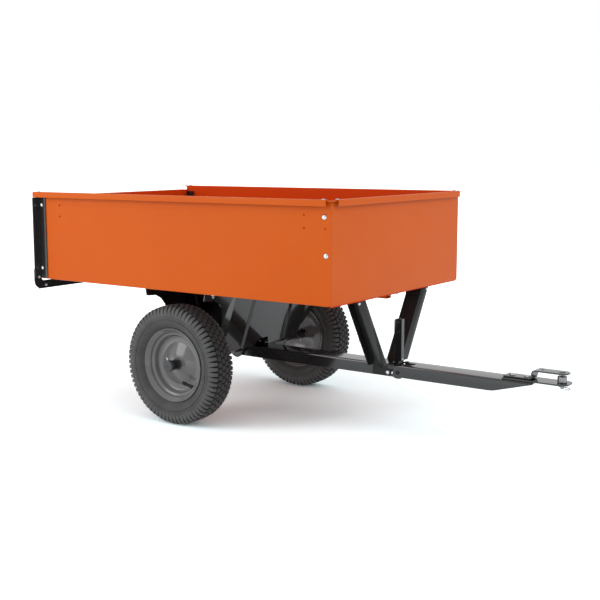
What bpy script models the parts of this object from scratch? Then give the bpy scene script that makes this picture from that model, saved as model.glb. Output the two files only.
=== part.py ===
"""Garden tractor trailer: a tipping sheet-steel bed on two pneumatic wheels.

The bed carries the axle, its supports and two splayed struts. The tongue turns on the
axle, lies between the struts' feet and is held there by a sprung latch lever. A tailgate
slides up between guides, and a clevis with a drop pin couples the tongue to a tractor.

Metres, +Z up, +X towards the hitch. Sizes along X are measured from the bed's rear edge,
and the whole model is then shifted so that its origin lies under the middle of its box.
"""
import math

import bmesh
import bpy
from mathutils import Matrix, Vector

SIDES = (("left", False), ("right", True))   # each side, and whether it is the mirrored one

# Sheet and fits
SHEET = 0.002            # bed panels
PLATE = 0.003            # black brackets and the tongue
BEND = 0.0015            # inner radius of a fold
FIT = 0.0003             # gap between pieces that touch
RUN = 0.00006            # radial clearance of a running fit
BEND_STEPS = 2

# Bed
BED_LENGTH = 1.180
BED_WIDTH = 0.780
BED_BOTTOM = 0.433
BED_TOP = 0.735
REAR_OVERLAP = 0.0297    # how far the side panels reach behind the bed's rear edge
RAIL_REAR = 0.046        # how far the side rails reach behind it
RAIL_WIDTH = 0.015
RAIL_DROP = 0.019
SIDE_LIP_STOP = 0.023    # the side rail ends this far short of the rail corner
FRONT_LIP_STOP = 0.033
FOOT_FLANGE = 0.025      # inward flange under the floor
FRONT_FLANGE = 0.035     # front panel's flange inside each side panel
SIDE_HOLE_RADIUS = 0.0033
SIDE_HOLE_LENGTH = 0.008
SIDE_HOLE_STEPS = 8
HOLE_DROPS = (0.045, 0.082)                  # side holes below the rail's top
REAR_HOLES_AT = 0.103                        # from the side panel's rear edge
FRONT_HOLES_AT = 0.091                       # from the bed's front edge
CORNER_HOLE_AT = 0.018
GUSSET_LEG = 0.052
GUSSET_CORNER = 0.006
GUSSET_SHEET = 0.0025
RIB_WIDTH = 0.030
RIB_DEPTH = 0.024
RIB_REAR = 0.040
RIB_FRONT = 1.141

# Rear frame and tailgate
UPRIGHT_LEG = 0.0353
UPRIGHT_OUT = 0.028      # how far the rear plate's foot stands out from the side panel
UPRIGHT_TAPER = 0.009    # and how much less it stands out at its top
UPRIGHT_IN = 0.018       # how far it reaches in behind the tailgate
UPRIGHT_FOOT = 0.437
CORNER_LAP = 0.032       # corner plate over the upright's foot, and its own width
CORNER_REACH = 0.075     # corner plate along the sill
CORNER_EDGE = 0.004
CORNER_STEPS = 5
SILL_LAP = 0.060
SILL_SHELF_GAP = 0.020
SILL_BOTTOM = 0.397
SILL_HEIGHT = 0.028
SILL_SHELF = 0.050
CORNER_RADIUS = 0.030
GUIDE_DEPTH = 0.018
GUIDE_LIP = 0.008
GUIDE_FRONT = 0.006
GUIDE_DROP = 0.022       # guide's top below the rail's
SLOT = 0.0052            # room for the tailgate between the guides and the rear plates
GATE_TOP = 0.720
GATE_FOLD = 0.014
GATE_EAR_GAP = 0.002
GATE_EAR_DROP = 0.004

# Axle and wheels
AXLE_X = 0.568
AXLE_RADIUS = 0.0095
TYRE_RADIUS = 0.1926
TYRE_HALF_WIDTH = 0.050
WHEEL_OFFSET = 0.343     # wheel's middle plane from the trailer's
RIM_RADIUS = 0.1173
RIM_HALF_WIDTH = 0.037
SEAT_RADIUS = 0.1042
SEAT_AT = 0.0195         # bead seat's inner end from the wheel's middle plane
WELL_RADIUS = 0.0935
WELL_HALF_WIDTH = 0.009
RIM_WALL = 0.0025
RIM_EDGE = 0.0012
DISC_RADIUS = 0.0830     # flat ring of the disc
DISC_AT = -0.001         # its outer face from the wheel's middle plane
DISC_WALL = 0.003
CONE_RADIUS = 0.0610     # where the disc rises as a cone towards the hub
CONE_RISE = 0.008
HUB_RADIUS = 0.0165
HUB_OUT = 0.0465
HUB_IN = 0.048
HUB_GROOVES = (0.024, 0.033)
HUB_GROOVE_DEPTH = 0.0014
HUB_GROOVE_WIDTH = 0.003
BUSH_WALL = 0.003
BUSH_FLANGE = 0.002
BUSH_LENGTH = 0.018
CAP_RADIUS = 0.0187
CAP_LENGTH = 0.0085
CAP_CHAMFER = 0.0015
AXLE_END_GAP = 0.004     # axle's end inside the cap
SPACER_WALL = 0.0046
SIDE_WALL = 0.98         # tyre section, as shares of its half width
LUG_FOOT = 0.97
TREAD_EDGE = 0.81
CROWN = 0.44
SIDE_WALL_DROP = 0.0456  # and how far below the tread's middle each point lies
LUG_FOOT_DROP = 0.0206
TREAD_EDGE_DROP = 0.0065
CROWN_DROP = 0.0011
LUG_INSET = 0.05         # a groove's foot lies this share further in
LUGS = 56
LUG_DEPTH = 0.0045
VALVE_ANGLE = -47        # degrees round the wheel from the front
VALVE_FOOT_RADIUS = 0.0925
VALVE_FOOT_AT = 0.0150
VALVE_TIP_RADIUS = 0.0680
VALVE_TIP_AT = 0.0300
VALVE_TIP_ANGLE = -54
VALVE_RADIUS = 0.0045
RIM_STEPS = 26
HUB_STEPS = 16
AXLE_STEPS = 16

# Axle supports, hung from the floor
SUPPORT_GAP = 0.001      # wall's lower edge above the tongue's top
SUPPORT_REACH = 0.0688   # from the axle to the wall's lower edge
SUPPORT_SLOPE = 0.314    # how much further it reaches for each metre up
SUPPORT_HALF_WIDTH = 0.214
WING_TIP = 0.362
WING_RISE = 0.038        # straight foot of the wall's side
WING_EDGE = 0.0285       # depth of the wing at its tip
WING_ARCH = ((0.094, 0.1155), (0.089, 0.0670), (0.072, 0.0455),
             (0.046, 0.0325), (0.016, 0.0305))   # back from the tip, and below the floor
FACET_TOP = 0.220        # facet between wall and wing: its outer crease at the floor
FACET_LEAN = 0.435       # and how much further out it lies for each metre down
FACET_SLOPE = 0.16       # the facet's slant forwards, and the wing's back
WING_SLOPE = 0.10
SWAGE_TOP = 0.108        # middle of the recessed swage at the floor
SWAGE_LEAN = 0.045
SWAGE_WIDTH = 0.030
SWAGE_DEPTH = 0.007
NOTCH_HALF_WIDTH = 0.038
NOTCH_TAPER = 0.012
NOTCH_HEIGHT = 0.0235
SUPPORT_FLANGE = 0.032
CHEEK_BOSS = 0.027
INNER_CHEEK_AT = 0.0455
OUTER_CHEEK_AT = 0.204
OUTER_CHEEK_TOP = 0.300
CHEEK_SPREAD = 0.235     # height where a cheek reaches the walls
CHEEK_FLANGE = 0.025

# Tongue
TONGUE_HALF_WIDTH = 0.040
TONGUE_TOP = 0.211
TONGUE_BOTTOM = 0.173
TONGUE_TAPER = 1.513     # where the walls start to rise
TONGUE_TAPER_RADIUS = 0.090
TONGUE_FRONT = 1.636
TONGUE_TIP_HEIGHT = 0.0045
TONGUE_BEND = 0.0025
TONGUE_BUSH_WALL = 0.004
TONGUE_BUSH_FLANGE = 0.003

# Struts
STRUT_FROM_FRONT = 0.043 # strut's middle behind the bed's front edge
STRUT_WIDTH = 0.051
STRUT_FLANGES = (0.027, 0.040)               # depth of the rear and the front one
FLANGE_CUT = 0.006       # slant of their lower ends
STRUT_TOP_Y = 0.178      # web at the floor
STRUT_GAP = 0.0015       # foot tab from the tongue's side
STRUT_KNEE = 0.206       # height where the foot tab ends
TAB_BOTTOM = 0.175
TAB_RADIUS = 0.0115      # foot tab round the latch bar
MOUNT_LEG = 0.034

# Latch
BAR_FROM_FRONT = 0.013   # latch bar behind the bed's front edge
BAR_Z = 0.1865
BAR_RADIUS = 0.005
BAR_HEAD = 0.0072
BAR_HEAD_LENGTH = 0.0060
LEVER_SETBACK = 0.0005   # lever's rear edge from the bar's middle
LEVER_DEPTH = 0.027
LEVER_HALF_WIDTH = 0.008
LEVER_TOP = 0.3510
LEVER_SHEET = 0.0025
LEVER_CORNER = 0.008
LEVER_NECK = 0.0034      # neck behind which the bar swings up and clears the lever
NECK_DROP = 0.088        # its top below the lever's
LEVER_BOSS = 0.0125      # round foot at the pivot, and where it meets the front edge
LEVER_FOOT = 0.020
LEVER_WEB = 0.026        # web's lower end above the pivot
LEVER_HOLE = 0.0035
LEVER_HOLE_AT = 0.015
LEVER_HOLE_DROPS = (0.010, 0.042)
PIVOT_FROM_BAR = 0.0315
PIVOT_Z = 0.1875
PIVOT_RADIUS = 0.004
PIVOT_HEAD = 0.0062
PIVOT_CROWN = 0.003
EAR_HALF = 0.0145        # tongue's ear under the pivot
EAR_DROP = 0.0045
HOOK_TIP = 0.0025        # how far the hook reaches behind the bar's middle
HOOK_HEIGHT = 0.012
HOOK_GAP = 0.001
HOOK_RISE = 0.016
NOTCH_FRONT = 0.0145     # latch notch, in front of the bar and behind it
NOTCH_REAR = 0.008
NOTCH_CORNER = 0.004
NOTCH_FLARE = 0.007
SLOT_FRONT = 0.071       # lever's slot, in front of the bar
SLOT_GAP = 0.0035
SPRING_WIRE = 0.0011
SPRING_COIL = 0.0082
SPRING_TURNS = 3
SPRING_STEPS = 8
SPRING_GAP = 0.004       # from the lever, and between turns
SPRING_PITCH_GAP = 0.0008
SPRING_LEG = 0.030
SPRING_TAIL = 0.012

# Hitch
HITCH_TIP = 1.732
HITCH_LENGTH = 0.193     # hitch plate, along the trailer
HITCH_PLATE = 0.0045
HITCH_HALF_WIDTH = 0.033
HITCH_CORNER = 0.020
STRAP_HALF_WIDTH = 0.022
STRAP_SETBACK = 0.003    # strap's tip behind the plate's
STRAP_LENGTH = 0.101     # strap's upper leg
STRAP_TOP = 0.2460
STRAP_FOLD = 0.006
STRAP_CORNER = 0.018
PIN_FROM_TIP = 0.024
PIN_RADIUS = 0.0050
PIN_HEAD = 0.0085
PIN_HEAD_HEIGHT = 0.0018
PIN_DROP = 0.0145        # how far the pin reaches below the hitch plate
SPACER_RADIUS = 0.0135
SPACER_HEIGHT = 0.0185
SPACER_CHAMFER = 0.0012
SPARE_FROM_BEND = 0.022  # spare hole in the upper leg
SPARE_HOLE = 0.0045
HITCH_BOLTS = (0.019, 0.065)                 # from the strap's rear end
HITCH_BOLT_RADIUS = 0.004
HITCH_BOLT_HEAD = 0.0092
HITCH_BOLT_CROWN = 0.0042
HITCH_NUT_RADIUS = 0.0068
HITCH_NUT_DEPTH = 0.0075
CLIP_WIRE = 0.0012
CLIP_DROP = 0.0085       # clip's hole below the hitch plate
CLIP_LENGTH = 0.0187
CLIP_BOW = 0.0062
CLIP_TAIL = 0.004
CLIP_END = 0.0095

# Places worked out from the sizes above
HALF = BED_WIDTH / 2
AXLE_Z = TYRE_RADIUS
FLOOR_UNDER = BED_BOTTOM + SHEET + FIT
FLOOR_TOP = FLOOR_UNDER + SHEET
HANG = FLOOR_UNDER - FIT                     # top of what hangs under the floor
SIDE_INNER = HALF - SHEET
REAR_PLATE = -REAR_OVERLAP - 2 * FIT         # front face of the rear plates
RAIL_Y = HALF + RAIL_WIDTH
RAIL_X = BED_LENGTH + RAIL_WIDTH
HUB_END = WHEEL_OFFSET + HUB_OUT + BUSH_FLANGE
HUB_START = WHEEL_OFFSET - HUB_IN - BUSH_FLANGE
CAP_START = HUB_END + FIT
CAP_END = CAP_START + CAP_LENGTH
SUPPORT_BOTTOM = TONGUE_TOP + SUPPORT_GAP
NOTCH_TOP = SUPPORT_BOTTOM + NOTCH_HEIGHT
PLATE_TOP = TONGUE_TOP + FIT + HITCH_PLATE
TONGUE_MID = (TONGUE_TOP + TONGUE_BOTTOM) / 2
STRUT_X = BED_LENGTH - STRUT_FROM_FRONT
BAR_X = BED_LENGTH - BAR_FROM_FRONT
LEVER_X = BAR_X - LEVER_SETBACK
PIVOT_X = BAR_X + PIVOT_FROM_BAR
HITCH_REAR = HITCH_TIP - HITCH_LENGTH
STRAP_TIP = HITCH_TIP - STRAP_SETBACK
STRAP_BEND = STRAP_TIP - STRAP_LENGTH
PIN_X = HITCH_TIP - PIN_FROM_TIP
ORIGIN_X = (HITCH_TIP - RAIL_REAR) / 2


def srgb(red, green, blue):
    """A colour given as it looks on screen, 0 to 255, as Blender's linear values."""
    def linear(v):
        v /= 255
        return v / 12.92 if v <= 0.04045 else ((v + 0.055) / 1.055) ** 2.4
    return (linear(red), linear(green), linear(blue), 1)


def material(name, colour, roughness, metallic=0.0):
    """A plain paint or metal."""
    made = bpy.data.materials.new(name)
    made.use_nodes = True
    shader = made.node_tree.nodes["Principled BSDF"]
    shader.inputs["Base Color"].default_value = colour
    shader.inputs["Roughness"].default_value = roughness
    shader.inputs["Metallic"].default_value = metallic
    made.diffuse_color = colour
    return made


def rounded(points, radii, steps=BEND_STEPS):
    """A closed outline with its corners turned into arcs; a radius of 0 keeps one sharp."""
    out = []
    count = len(points)
    for i, (point, radius) in enumerate(zip(points, radii)):
        here = Vector(point)
        back = (Vector(points[i - 1]) - here)
        ahead = (Vector(points[(i + 1) % count]) - here)
        if radius <= 0:
            out.append(tuple(here))
            continue
        u, v = back.normalized(), ahead.normalized()
        half_angle = math.acos(max(-1, min(1, u.dot(v)))) / 2
        reach = min(radius / math.tan(half_angle), 0.49 * back.length, 0.49 * ahead.length)
        centre = here + (u + v).normalized() * reach / math.cos(half_angle)
        first, last = here + u * reach - centre, here + v * reach - centre
        sweep = math.atan2(first.x * last.y - first.y * last.x, first.dot(last))
        for k in range(steps + 1):
            turn = Matrix.Rotation(sweep * k / steps, 2)
            out.append(tuple(centre + turn @ first))
    return out


def arc(centre, radius, start, end, steps):
    """Points on an arc, angles in degrees."""
    cx, cz = centre
    angles = [math.radians(start + (end - start) * k / steps) for k in range(steps + 1)]
    return [(cx + radius * math.cos(a), cz + radius * math.sin(a)) for a in angles]


def folded(path, thickness, bend=BEND):
    """Outline of a folded sheet: the path is one face, the sheet lies on its left."""
    points = [Vector(p) for p in path]
    sides = [(b - a).normalized() for a, b in zip(points, points[1:])]
    normals = [Vector((-s.y, s.x)) for s in sides]
    other = [points[0] + normals[0] * thickness]
    near_radii, far_radii = [0.0], [0.0]
    for i in range(1, len(points) - 1):
        mitre = (normals[i - 1] + normals[i]).normalized()
        other.append(points[i] + mitre * thickness / mitre.dot(normals[i]))
        turns_left = sides[i - 1].x * sides[i].y - sides[i - 1].y * sides[i].x > 0
        near_radii.append(bend + thickness if turns_left else bend)
        far_radii.append(bend if turns_left else bend + thickness)
    other.append(points[-1] + normals[-1] * thickness)
    near_radii.append(0.0)
    far_radii.append(0.0)
    return rounded([tuple(p) for p in points] + [tuple(p) for p in reversed(other)],
                   near_radii + far_radii[::-1])


AXES = {"X": (1, 2, 0), "Y": (0, 2, 1), "Z": (0, 1, 2)}


def prism(outline, axis, low, high):
    """A bmesh solid: a closed outline, given in the two other axes, extruded along one."""
    a, b, c = AXES[axis]
    bm = bmesh.new()
    rings = []
    for level in (low, high):
        ring = []
        for p in outline:
            co = [0.0, 0.0, 0.0]
            co[a], co[b], co[c] = p[0], p[1], level
            ring.append(bm.verts.new(co))
        rings.append(ring)
    bm.faces.new(rings[0])
    bm.faces.new(rings[1])
    count = len(outline)
    for i in range(count):
        j = (i + 1) % count
        bm.faces.new((rings[0][i], rings[0][j], rings[1][j], rings[1][i]))
    bmesh.ops.recalc_face_normals(bm, faces=bm.faces)
    return bm


def block(low, high):
    """A box between two corners."""
    outline = [(low[0], low[1]), (high[0], low[1]), (high[0], high[1]), (low[0], high[1])]
    return prism(outline, "Z", low[2], high[2])


def turned(profile, axis, centre, steps):
    """A bmesh solid of revolution from (along, radius) points round an axis through centre.

    A radius of 0 at both ends closes the solid; otherwise the profile is a closed loop.
    """
    a, b, c = AXES[axis]
    bm = bmesh.new()
    rings = []
    for along, radius in profile:
        if radius == 0:
            co = list(centre)
            co[c] += along
            rings.append([bm.verts.new(co)])
            continue
        ring = []
        for k in range(steps):
            angle = math.tau * k / steps
            co = list(centre)
            co[a] += radius * math.cos(angle)
            co[b] += radius * math.sin(angle)
            co[c] += along
            ring.append(bm.verts.new(co))
        rings.append(ring)
    solid_ends = profile[0][1] == 0
    pairs = list(zip(rings, rings[1:])) if solid_ends else list(zip(rings, rings[1:] + rings[:1]))
    for first, second in pairs:
        for k in range(steps):
            j = (k + 1) % steps
            corners = [first[k % len(first)], second[k % len(second)],
                       second[j % len(second)], first[j % len(first)]]
            bm.faces.new(list(dict.fromkeys(corners)))
    bmesh.ops.recalc_face_normals(bm, faces=bm.faces)
    return bm


def tube(points, radius, sides, name, mat, pivot):
    """A wire along points, as a closed tube object."""
    curve = bpy.data.curves.new(name, "CURVE")
    curve.dimensions = "3D"
    curve.bevel_depth = radius
    curve.bevel_resolution = (sides - 4) // 2
    curve.use_fill_caps = True
    spline = curve.splines.new("POLY")
    spline.points.add(len(points) - 1)
    for target, point in zip(spline.points, points):
        target.co = (*(Vector(point) - Vector(pivot)), 1)
    curve.materials.append(mat)
    obj = bpy.data.objects.new(name, curve)
    obj.location = Vector(pivot) - Vector((ORIGIN_X, 0, 0))
    bpy.context.collection.objects.link(obj)
    return obj


def piece(name, bm, mat, pivot=(0.0, 0.0, 0.0), mirror=False):
    """Turn a bmesh into a named object with its origin at pivot; mirror swaps the side."""
    if mirror:
        bmesh.ops.transform(bm, matrix=Matrix.Scale(-1, 4, (0, 1, 0)), verts=bm.verts)
        bmesh.ops.reverse_faces(bm, faces=bm.faces)
    bmesh.ops.translate(bm, verts=bm.verts, vec=-Vector(pivot))
    mesh = bpy.data.meshes.new(name)
    bm.to_mesh(mesh)
    bm.free()
    mesh.shade_smooth()
    mesh.set_sharp_from_angle(angle=math.radians(35))
    if mat is not None:
        mesh.materials.append(mat)
    obj = bpy.data.objects.new(name, mesh)
    obj.location = Vector(pivot) - Vector((ORIGIN_X, 0, 0))
    bpy.context.collection.objects.link(obj)
    return obj


def tool(name, bm, mirror=False):
    """A hidden solid that other pieces are cut by or joined to."""
    obj = piece(name, bm, None, mirror=mirror)
    obj.hide_render = True
    obj.display_type = "WIRE"
    return obj


def combine(obj, other, operation="DIFFERENCE"):
    """Cut, join or intersect an object with a hidden solid."""
    modifier = obj.modifiers.new(other.name, "BOOLEAN")
    modifier.operation = operation
    modifier.object = other
    modifier.solver = "EXACT"


def drill(targets, name, centre, axis, radius, length, steps=12):
    """One hidden drill through every target, its flats clear of the radius."""
    outer = radius / math.cos(math.pi / steps)
    profile = [(-length / 2, 0), (-length / 2, outer), (length / 2, outer), (length / 2, 0)]
    cutter = tool(name, turned(profile, axis, centre, steps))
    for target in targets:
        combine(target, cutter)


def bore(shaft, steps):
    """Radius of a faceted hole whose flats clear a round shaft by a running fit."""
    return (shaft + RUN) / math.cos(math.pi / steps)


def panel_outline(outer):
    """Section of a bed panel whose outer face is at outer: foot flange, wall, rail and lip."""
    lip = outer + RAIL_WIDTH - SHEET
    return folded([(outer - FOOT_FLANGE, BED_BOTTOM), (outer, BED_BOTTOM), (outer, BED_TOP - SHEET),
                   (lip, BED_TOP - SHEET), (lip, BED_TOP - RAIL_DROP)], SHEET)


def side_holes():
    """Places along and up of the small holes in a side panel."""
    heights = [BED_TOP - drop for drop in HOLE_DROPS]
    rear, front = REAR_HOLES_AT - REAR_OVERLAP, BED_LENGTH - FRONT_HOLES_AT
    pairs = [(x, z) for x in (rear, front) for z in heights]
    return pairs + [(BED_LENGTH - CORNER_HOLE_AT, heights[-1])]


def make_side_panel(side, mirror, paint):
    """Side panel with its foot flange and rail; its wall reaches past both at the front."""
    rail_end, front = RAIL_X - SIDE_LIP_STOP, BED_LENGTH - FIT
    panel = piece(f"side_panel_{side}", prism(panel_outline(HALF), "X", -RAIL_REAR, front), paint,
                  mirror=mirror)
    under_rail, over_foot = BED_TOP - SHEET - BEND, BED_BOTTOM + SHEET + BEND
    rear = block((-2 * RAIL_REAR, HALF - 2 * FOOT_FLANGE, BED_BOTTOM - SHEET),
                 (-REAR_OVERLAP, HALF + RAIL_WIDTH - SHEET - BEND, under_rail))
    combine(panel, tool(f"panel_rear_trim_{side}", rear, mirror))
    step, beyond = HALF + FIT, RAIL_Y + SHEET
    rail = [(SIDE_INNER - SHEET, under_rail), (step, under_rail), (step, BED_TOP - 2 * RAIL_DROP),
            (beyond, BED_TOP - 2 * RAIL_DROP), (beyond, BED_TOP + SHEET),
            (SIDE_INNER - SHEET, BED_TOP + SHEET)]
    trim = prism(rail, "X", rail_end, front + SHEET)
    combine(panel, tool(f"panel_rail_trim_{side}", trim, mirror))
    foot = block((rail_end, HALF - 2 * FOOT_FLANGE, BED_BOTTOM - SHEET),
                 (front + SHEET, step, over_foot))
    combine(panel, tool(f"panel_foot_trim_{side}", foot, mirror))
    across = -HALF if mirror else HALF
    for number, (x, z) in enumerate(side_holes()):
        drill([panel], f"panel_hole_{side}_{number}", (x, across, z), "Y", SIDE_HOLE_RADIUS,
              SIDE_HOLE_LENGTH, SIDE_HOLE_STEPS)


def make_front_panel(paint):
    """Front panel with its rail, and a flange inside each side panel."""
    half = SIDE_INNER - FIT
    front = piece("front_panel", prism(panel_outline(BED_LENGTH), "Y", -half, half), paint)
    for side, mirror in SIDES:
        flange = block((BED_LENGTH - FRONT_FLANGE, half - SHEET, FLOOR_TOP + 2 * FIT),
                       (BED_LENGTH - SHEET / 2, half, BED_TOP - SHEET - BEND))
        combine(front, tool(f"front_flange_{side}", flange, mirror), "UNION")
        foot = block((BED_LENGTH - 2 * FOOT_FLANGE, HALF - FOOT_FLANGE - FIT, BED_BOTTOM - SHEET),
                     (BED_LENGTH - SHEET, HALF, FLOOR_TOP))
        combine(front, tool(f"front_foot_trim_{side}", foot, mirror))
        rail = block((BED_LENGTH, RAIL_Y - FRONT_LIP_STOP, BED_TOP - 2 * RAIL_DROP),
                     (RAIL_X + SHEET, RAIL_Y, BED_TOP + SHEET))
        combine(front, tool(f"front_rail_trim_{side}", rail, mirror))


def make_corner_gusset(side, mirror, paint):
    """Flat L under the rails' tops at a front corner."""
    clear = BEND + FIT
    inner_x, inner_y = BED_LENGTH + clear, HALF + clear
    lip_x, lip_y = RAIL_X - SHEET - clear, RAIL_Y - SHEET - clear
    points = [(inner_x - GUSSET_LEG, inner_y), (inner_x, inner_y), (inner_x, inner_y - GUSSET_LEG),
              (lip_x, inner_y - GUSSET_LEG), (lip_x, lip_y), (inner_x - GUSSET_LEG, lip_y)]
    top = BED_TOP - SHEET - FIT
    flat = prism(rounded(points, [0, 0, 0, 0, GUSSET_CORNER, 0]), "Z", top - GUSSET_SHEET, top)
    piece(f"corner_gusset_{side}", flat, paint, mirror=mirror)


def make_bed(paint):
    """Floor, side and front panels, gussets and the rib under the floor."""
    clear = SHEET + BEND + FIT
    floor = block((-REAR_OVERLAP + FIT, clear - HALF, FLOOR_UNDER),
                  (BED_LENGTH - clear, HALF - clear, FLOOR_TOP))
    piece("floor_panel", floor, paint)
    make_front_panel(paint)
    for side, mirror in SIDES:
        make_side_panel(side, mirror, paint)
        make_corner_gusset(side, mirror, paint)
    half_rib, rib_low = RIB_WIDTH / 2, HANG - RIB_DEPTH
    path = [(-half_rib, HANG), (-half_rib, rib_low), (half_rib, rib_low), (half_rib, HANG)]
    piece("floor_rib", prism(folded(path, SHEET), "X", RIB_REAR, RIB_FRONT), paint)


def make_upright(side, mirror, black):
    """Rear plate that narrows upwards, with a leg along the side panel, and its corner plate."""
    back, rail_under = REAR_PLATE - PLATE, BED_TOP - RAIL_DROP - FIT
    leg_in, leg_out = HALF + FIT, HALF + FIT + PLATE
    out, inward = HALF + UPRIGHT_OUT, HALF - UPRIGHT_IN
    tee = [(back, inward), (REAR_PLATE, inward), (REAR_PLATE, leg_in),
           (REAR_PLATE + UPRIGHT_LEG, leg_in), (REAR_PLATE + UPRIGHT_LEG, leg_out),
           (REAR_PLATE, leg_out), (REAR_PLATE, out), (back, out)]
    upright = prism(tee, "Z", UPRIGHT_FOOT, rail_under)
    for vert in upright.verts:
        if vert.co.z == rail_under and vert.co.y == out:
            vert.co.y -= UPRIGHT_TAPER
    piece(f"rear_upright_{side}", upright, black, mirror=mirror)

    lap, band = UPRIGHT_FOOT + CORNER_LAP, SILL_BOTTOM + SILL_HEIGHT
    corner = [(out, lap), (out, SILL_BOTTOM), (out - CORNER_REACH, SILL_BOTTOM),
              (out - CORNER_REACH, band), (out - CORNER_LAP, band), (out - CORNER_LAP, lap)]
    radii = [CORNER_EDGE, CORNER_RADIUS, CORNER_EDGE, CORNER_EDGE, CORNER_RADIUS / 3, CORNER_EDGE]
    flat = prism(rounded(corner, radii, CORNER_STEPS), "X", back - FIT - PLATE, back - FIT)
    piece(f"rear_corner_{side}", flat, black, mirror=mirror)


def make_gate_guide(side, mirror, black):
    """Folded guide in front of the tailgate's edge."""
    slot_front, wall = REAR_PLATE + SLOT, SIDE_INNER - FIT
    channel = [(GUIDE_FRONT, wall - GUIDE_DEPTH), (GUIDE_FRONT, wall), (slot_front, wall),
               (slot_front, wall - GUIDE_LIP)]
    guide = prism(folded(channel, SHEET), "Z", FLOOR_TOP + FIT, BED_TOP - GUIDE_DROP)
    piece(f"gate_guide_{side}", guide, black, mirror=mirror)


def make_sill(black):
    """Cross piece under the floor's rear edge, with a band between the corner plates."""
    back = REAR_PLATE - PLATE
    shelf = [(back, SILL_BOTTOM), (REAR_PLATE, SILL_BOTTOM), (REAR_PLATE, HANG - PLATE),
             (REAR_PLATE + SILL_SHELF, HANG - PLATE), (REAR_PLATE + SILL_SHELF, HANG), (back, HANG)]
    shelf_half = HALF - FOOT_FLANGE - SILL_SHELF_GAP
    band_half = HALF + UPRIGHT_OUT - CORNER_REACH + SILL_LAP
    outline = rounded(shelf, [0, 0, BEND, 0, 0, BEND + PLATE])
    sill = piece("rear_sill", prism(outline, "Y", -shelf_half, shelf_half), black)
    band = block((back, -band_half, SILL_BOTTOM), (REAR_PLATE, band_half, SILL_BOTTOM + SILL_HEIGHT))
    combine(sill, tool("sill_band", band), "UNION")


def make_tailgate(paint):
    """Sliding tailgate, folded back at its top between the uprights."""
    gate_back = REAR_PLATE + (SLOT - SHEET) / 2
    gate_half = SIDE_INNER - 3 * FIT - SHEET / 2
    gate_low = FLOOR_TOP + FIT
    path = [(gate_back + SHEET, gate_low), (gate_back + SHEET, GATE_TOP),
            (gate_back - GATE_FOLD, GATE_TOP)]
    gate = piece("tailgate", prism(folded(path, SHEET), "Y", -gate_half, gate_half), paint,
                 pivot=(gate_back, 0, gate_low))
    ear_low = BED_TOP - RAIL_DROP - FIT - GATE_EAR_DROP
    for side, mirror in SIDES:
        ear = block((gate_back - 2 * GATE_FOLD, HALF - UPRIGHT_IN - GATE_EAR_GAP, ear_low),
                    (gate_back - FIT, HALF, BED_TOP))
        combine(gate, tool(f"gate_fold_trim_{side}", ear, mirror))


def make_rear_frame(paint, black):
    """Uprights, corner plates, guides and sill, and the sliding tailgate."""
    for side, mirror in SIDES:
        make_upright(side, mirror, black)
        make_gate_guide(side, mirror, black)
    make_sill(black)
    make_tailgate(paint)


def support_wall_x(z):
    """Distance of a support wall's inner face from the axle at a height."""
    return SUPPORT_REACH + SUPPORT_SLOPE * (z - SUPPORT_BOTTOM)


def crease(z, at_floor, lean):
    """Distance from the middle of a crease that leans outwards on its way down."""
    return at_floor + lean * (HANG - z)


def wall_shift(y, z):
    """How far a support wall stands from the axle plane at a point of its flat outline."""
    across, edge = abs(y), crease(z, FACET_TOP, FACET_LEAN)
    facet = max(min(across, edge) - SUPPORT_HALF_WIDTH, 0)
    wing = max(across - edge, 0)
    share = 2 - abs(across - crease(z, SWAGE_TOP, SWAGE_LEAN)) / (SWAGE_WIDTH / 4)
    swage = SWAGE_DEPTH * max(0, min(1, share))
    return support_wall_x(z) + FACET_SLOPE * facet - WING_SLOPE * wing - swage


def make_support_wall(name, direction, black):
    """One pressed wall of the axle support: wings, swages, notch for the tongue, top flange."""
    top, half = HANG - PLATE / 2, SUPPORT_HALF_WIDTH
    arch = [(WING_TIP - back, HANG - down) for back, down in WING_ARCH]
    half_outline = [(NOTCH_HALF_WIDTH - NOTCH_TAPER, NOTCH_TOP), (NOTCH_HALF_WIDTH, SUPPORT_BOTTOM),
                    (half, SUPPORT_BOTTOM), (half, SUPPORT_BOTTOM + WING_RISE), *arch,
                    (WING_TIP, HANG - WING_EDGE), (WING_TIP, top)]
    outline = half_outline + [(-y, z) for y, z in reversed(half_outline)]
    bm = prism(outline, "X", 0, PLATE)
    creases = [(half, 0), (FACET_TOP, FACET_LEAN)]
    creases += [(SWAGE_TOP + k * SWAGE_WIDTH / 4, SWAGE_LEAN) for k in (-2, -1, 1, 2)]
    for at_floor, lean in creases:
        for way in (-1, 1):
            bmesh.ops.bisect_plane(bm, geom=bm.verts[:] + bm.edges[:] + bm.faces[:], dist=1e-6,
                                   plane_co=(0, way * at_floor, HANG), plane_no=(0, way, lean))
    for vert in bm.verts:
        stands = wall_shift(vert.co.y, vert.co.z) + vert.co.x
        vert.co.x = AXLE_X + direction * stands
    bmesh.ops.triangulate(bm, faces=bm.faces, quad_method="FIXED")
    bmesh.ops.recalc_face_normals(bm, faces=bm.faces)
    wall = piece(name, bm, black)
    root = AXLE_X + direction * (support_wall_x(HANG) + PLATE / 2)
    tip = AXLE_X + direction * (support_wall_x(HANG) + SUPPORT_FLANGE)
    low_x, high_x = sorted((root, tip))
    flange = block((low_x, -WING_TIP, HANG - PLATE), (high_x, WING_TIP, HANG))
    combine(wall, tool(f"{name}_flange", flange), "UNION")
    gap = RIB_WIDTH / 2 + FIT
    slot = block((low_x - SUPPORT_FLANGE, -gap, HANG - RIB_DEPTH - FIT),
                 (high_x + SUPPORT_FLANGE, gap, HANG + PLATE))
    combine(wall, tool(f"{name}_rib_slot", slot))


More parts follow.
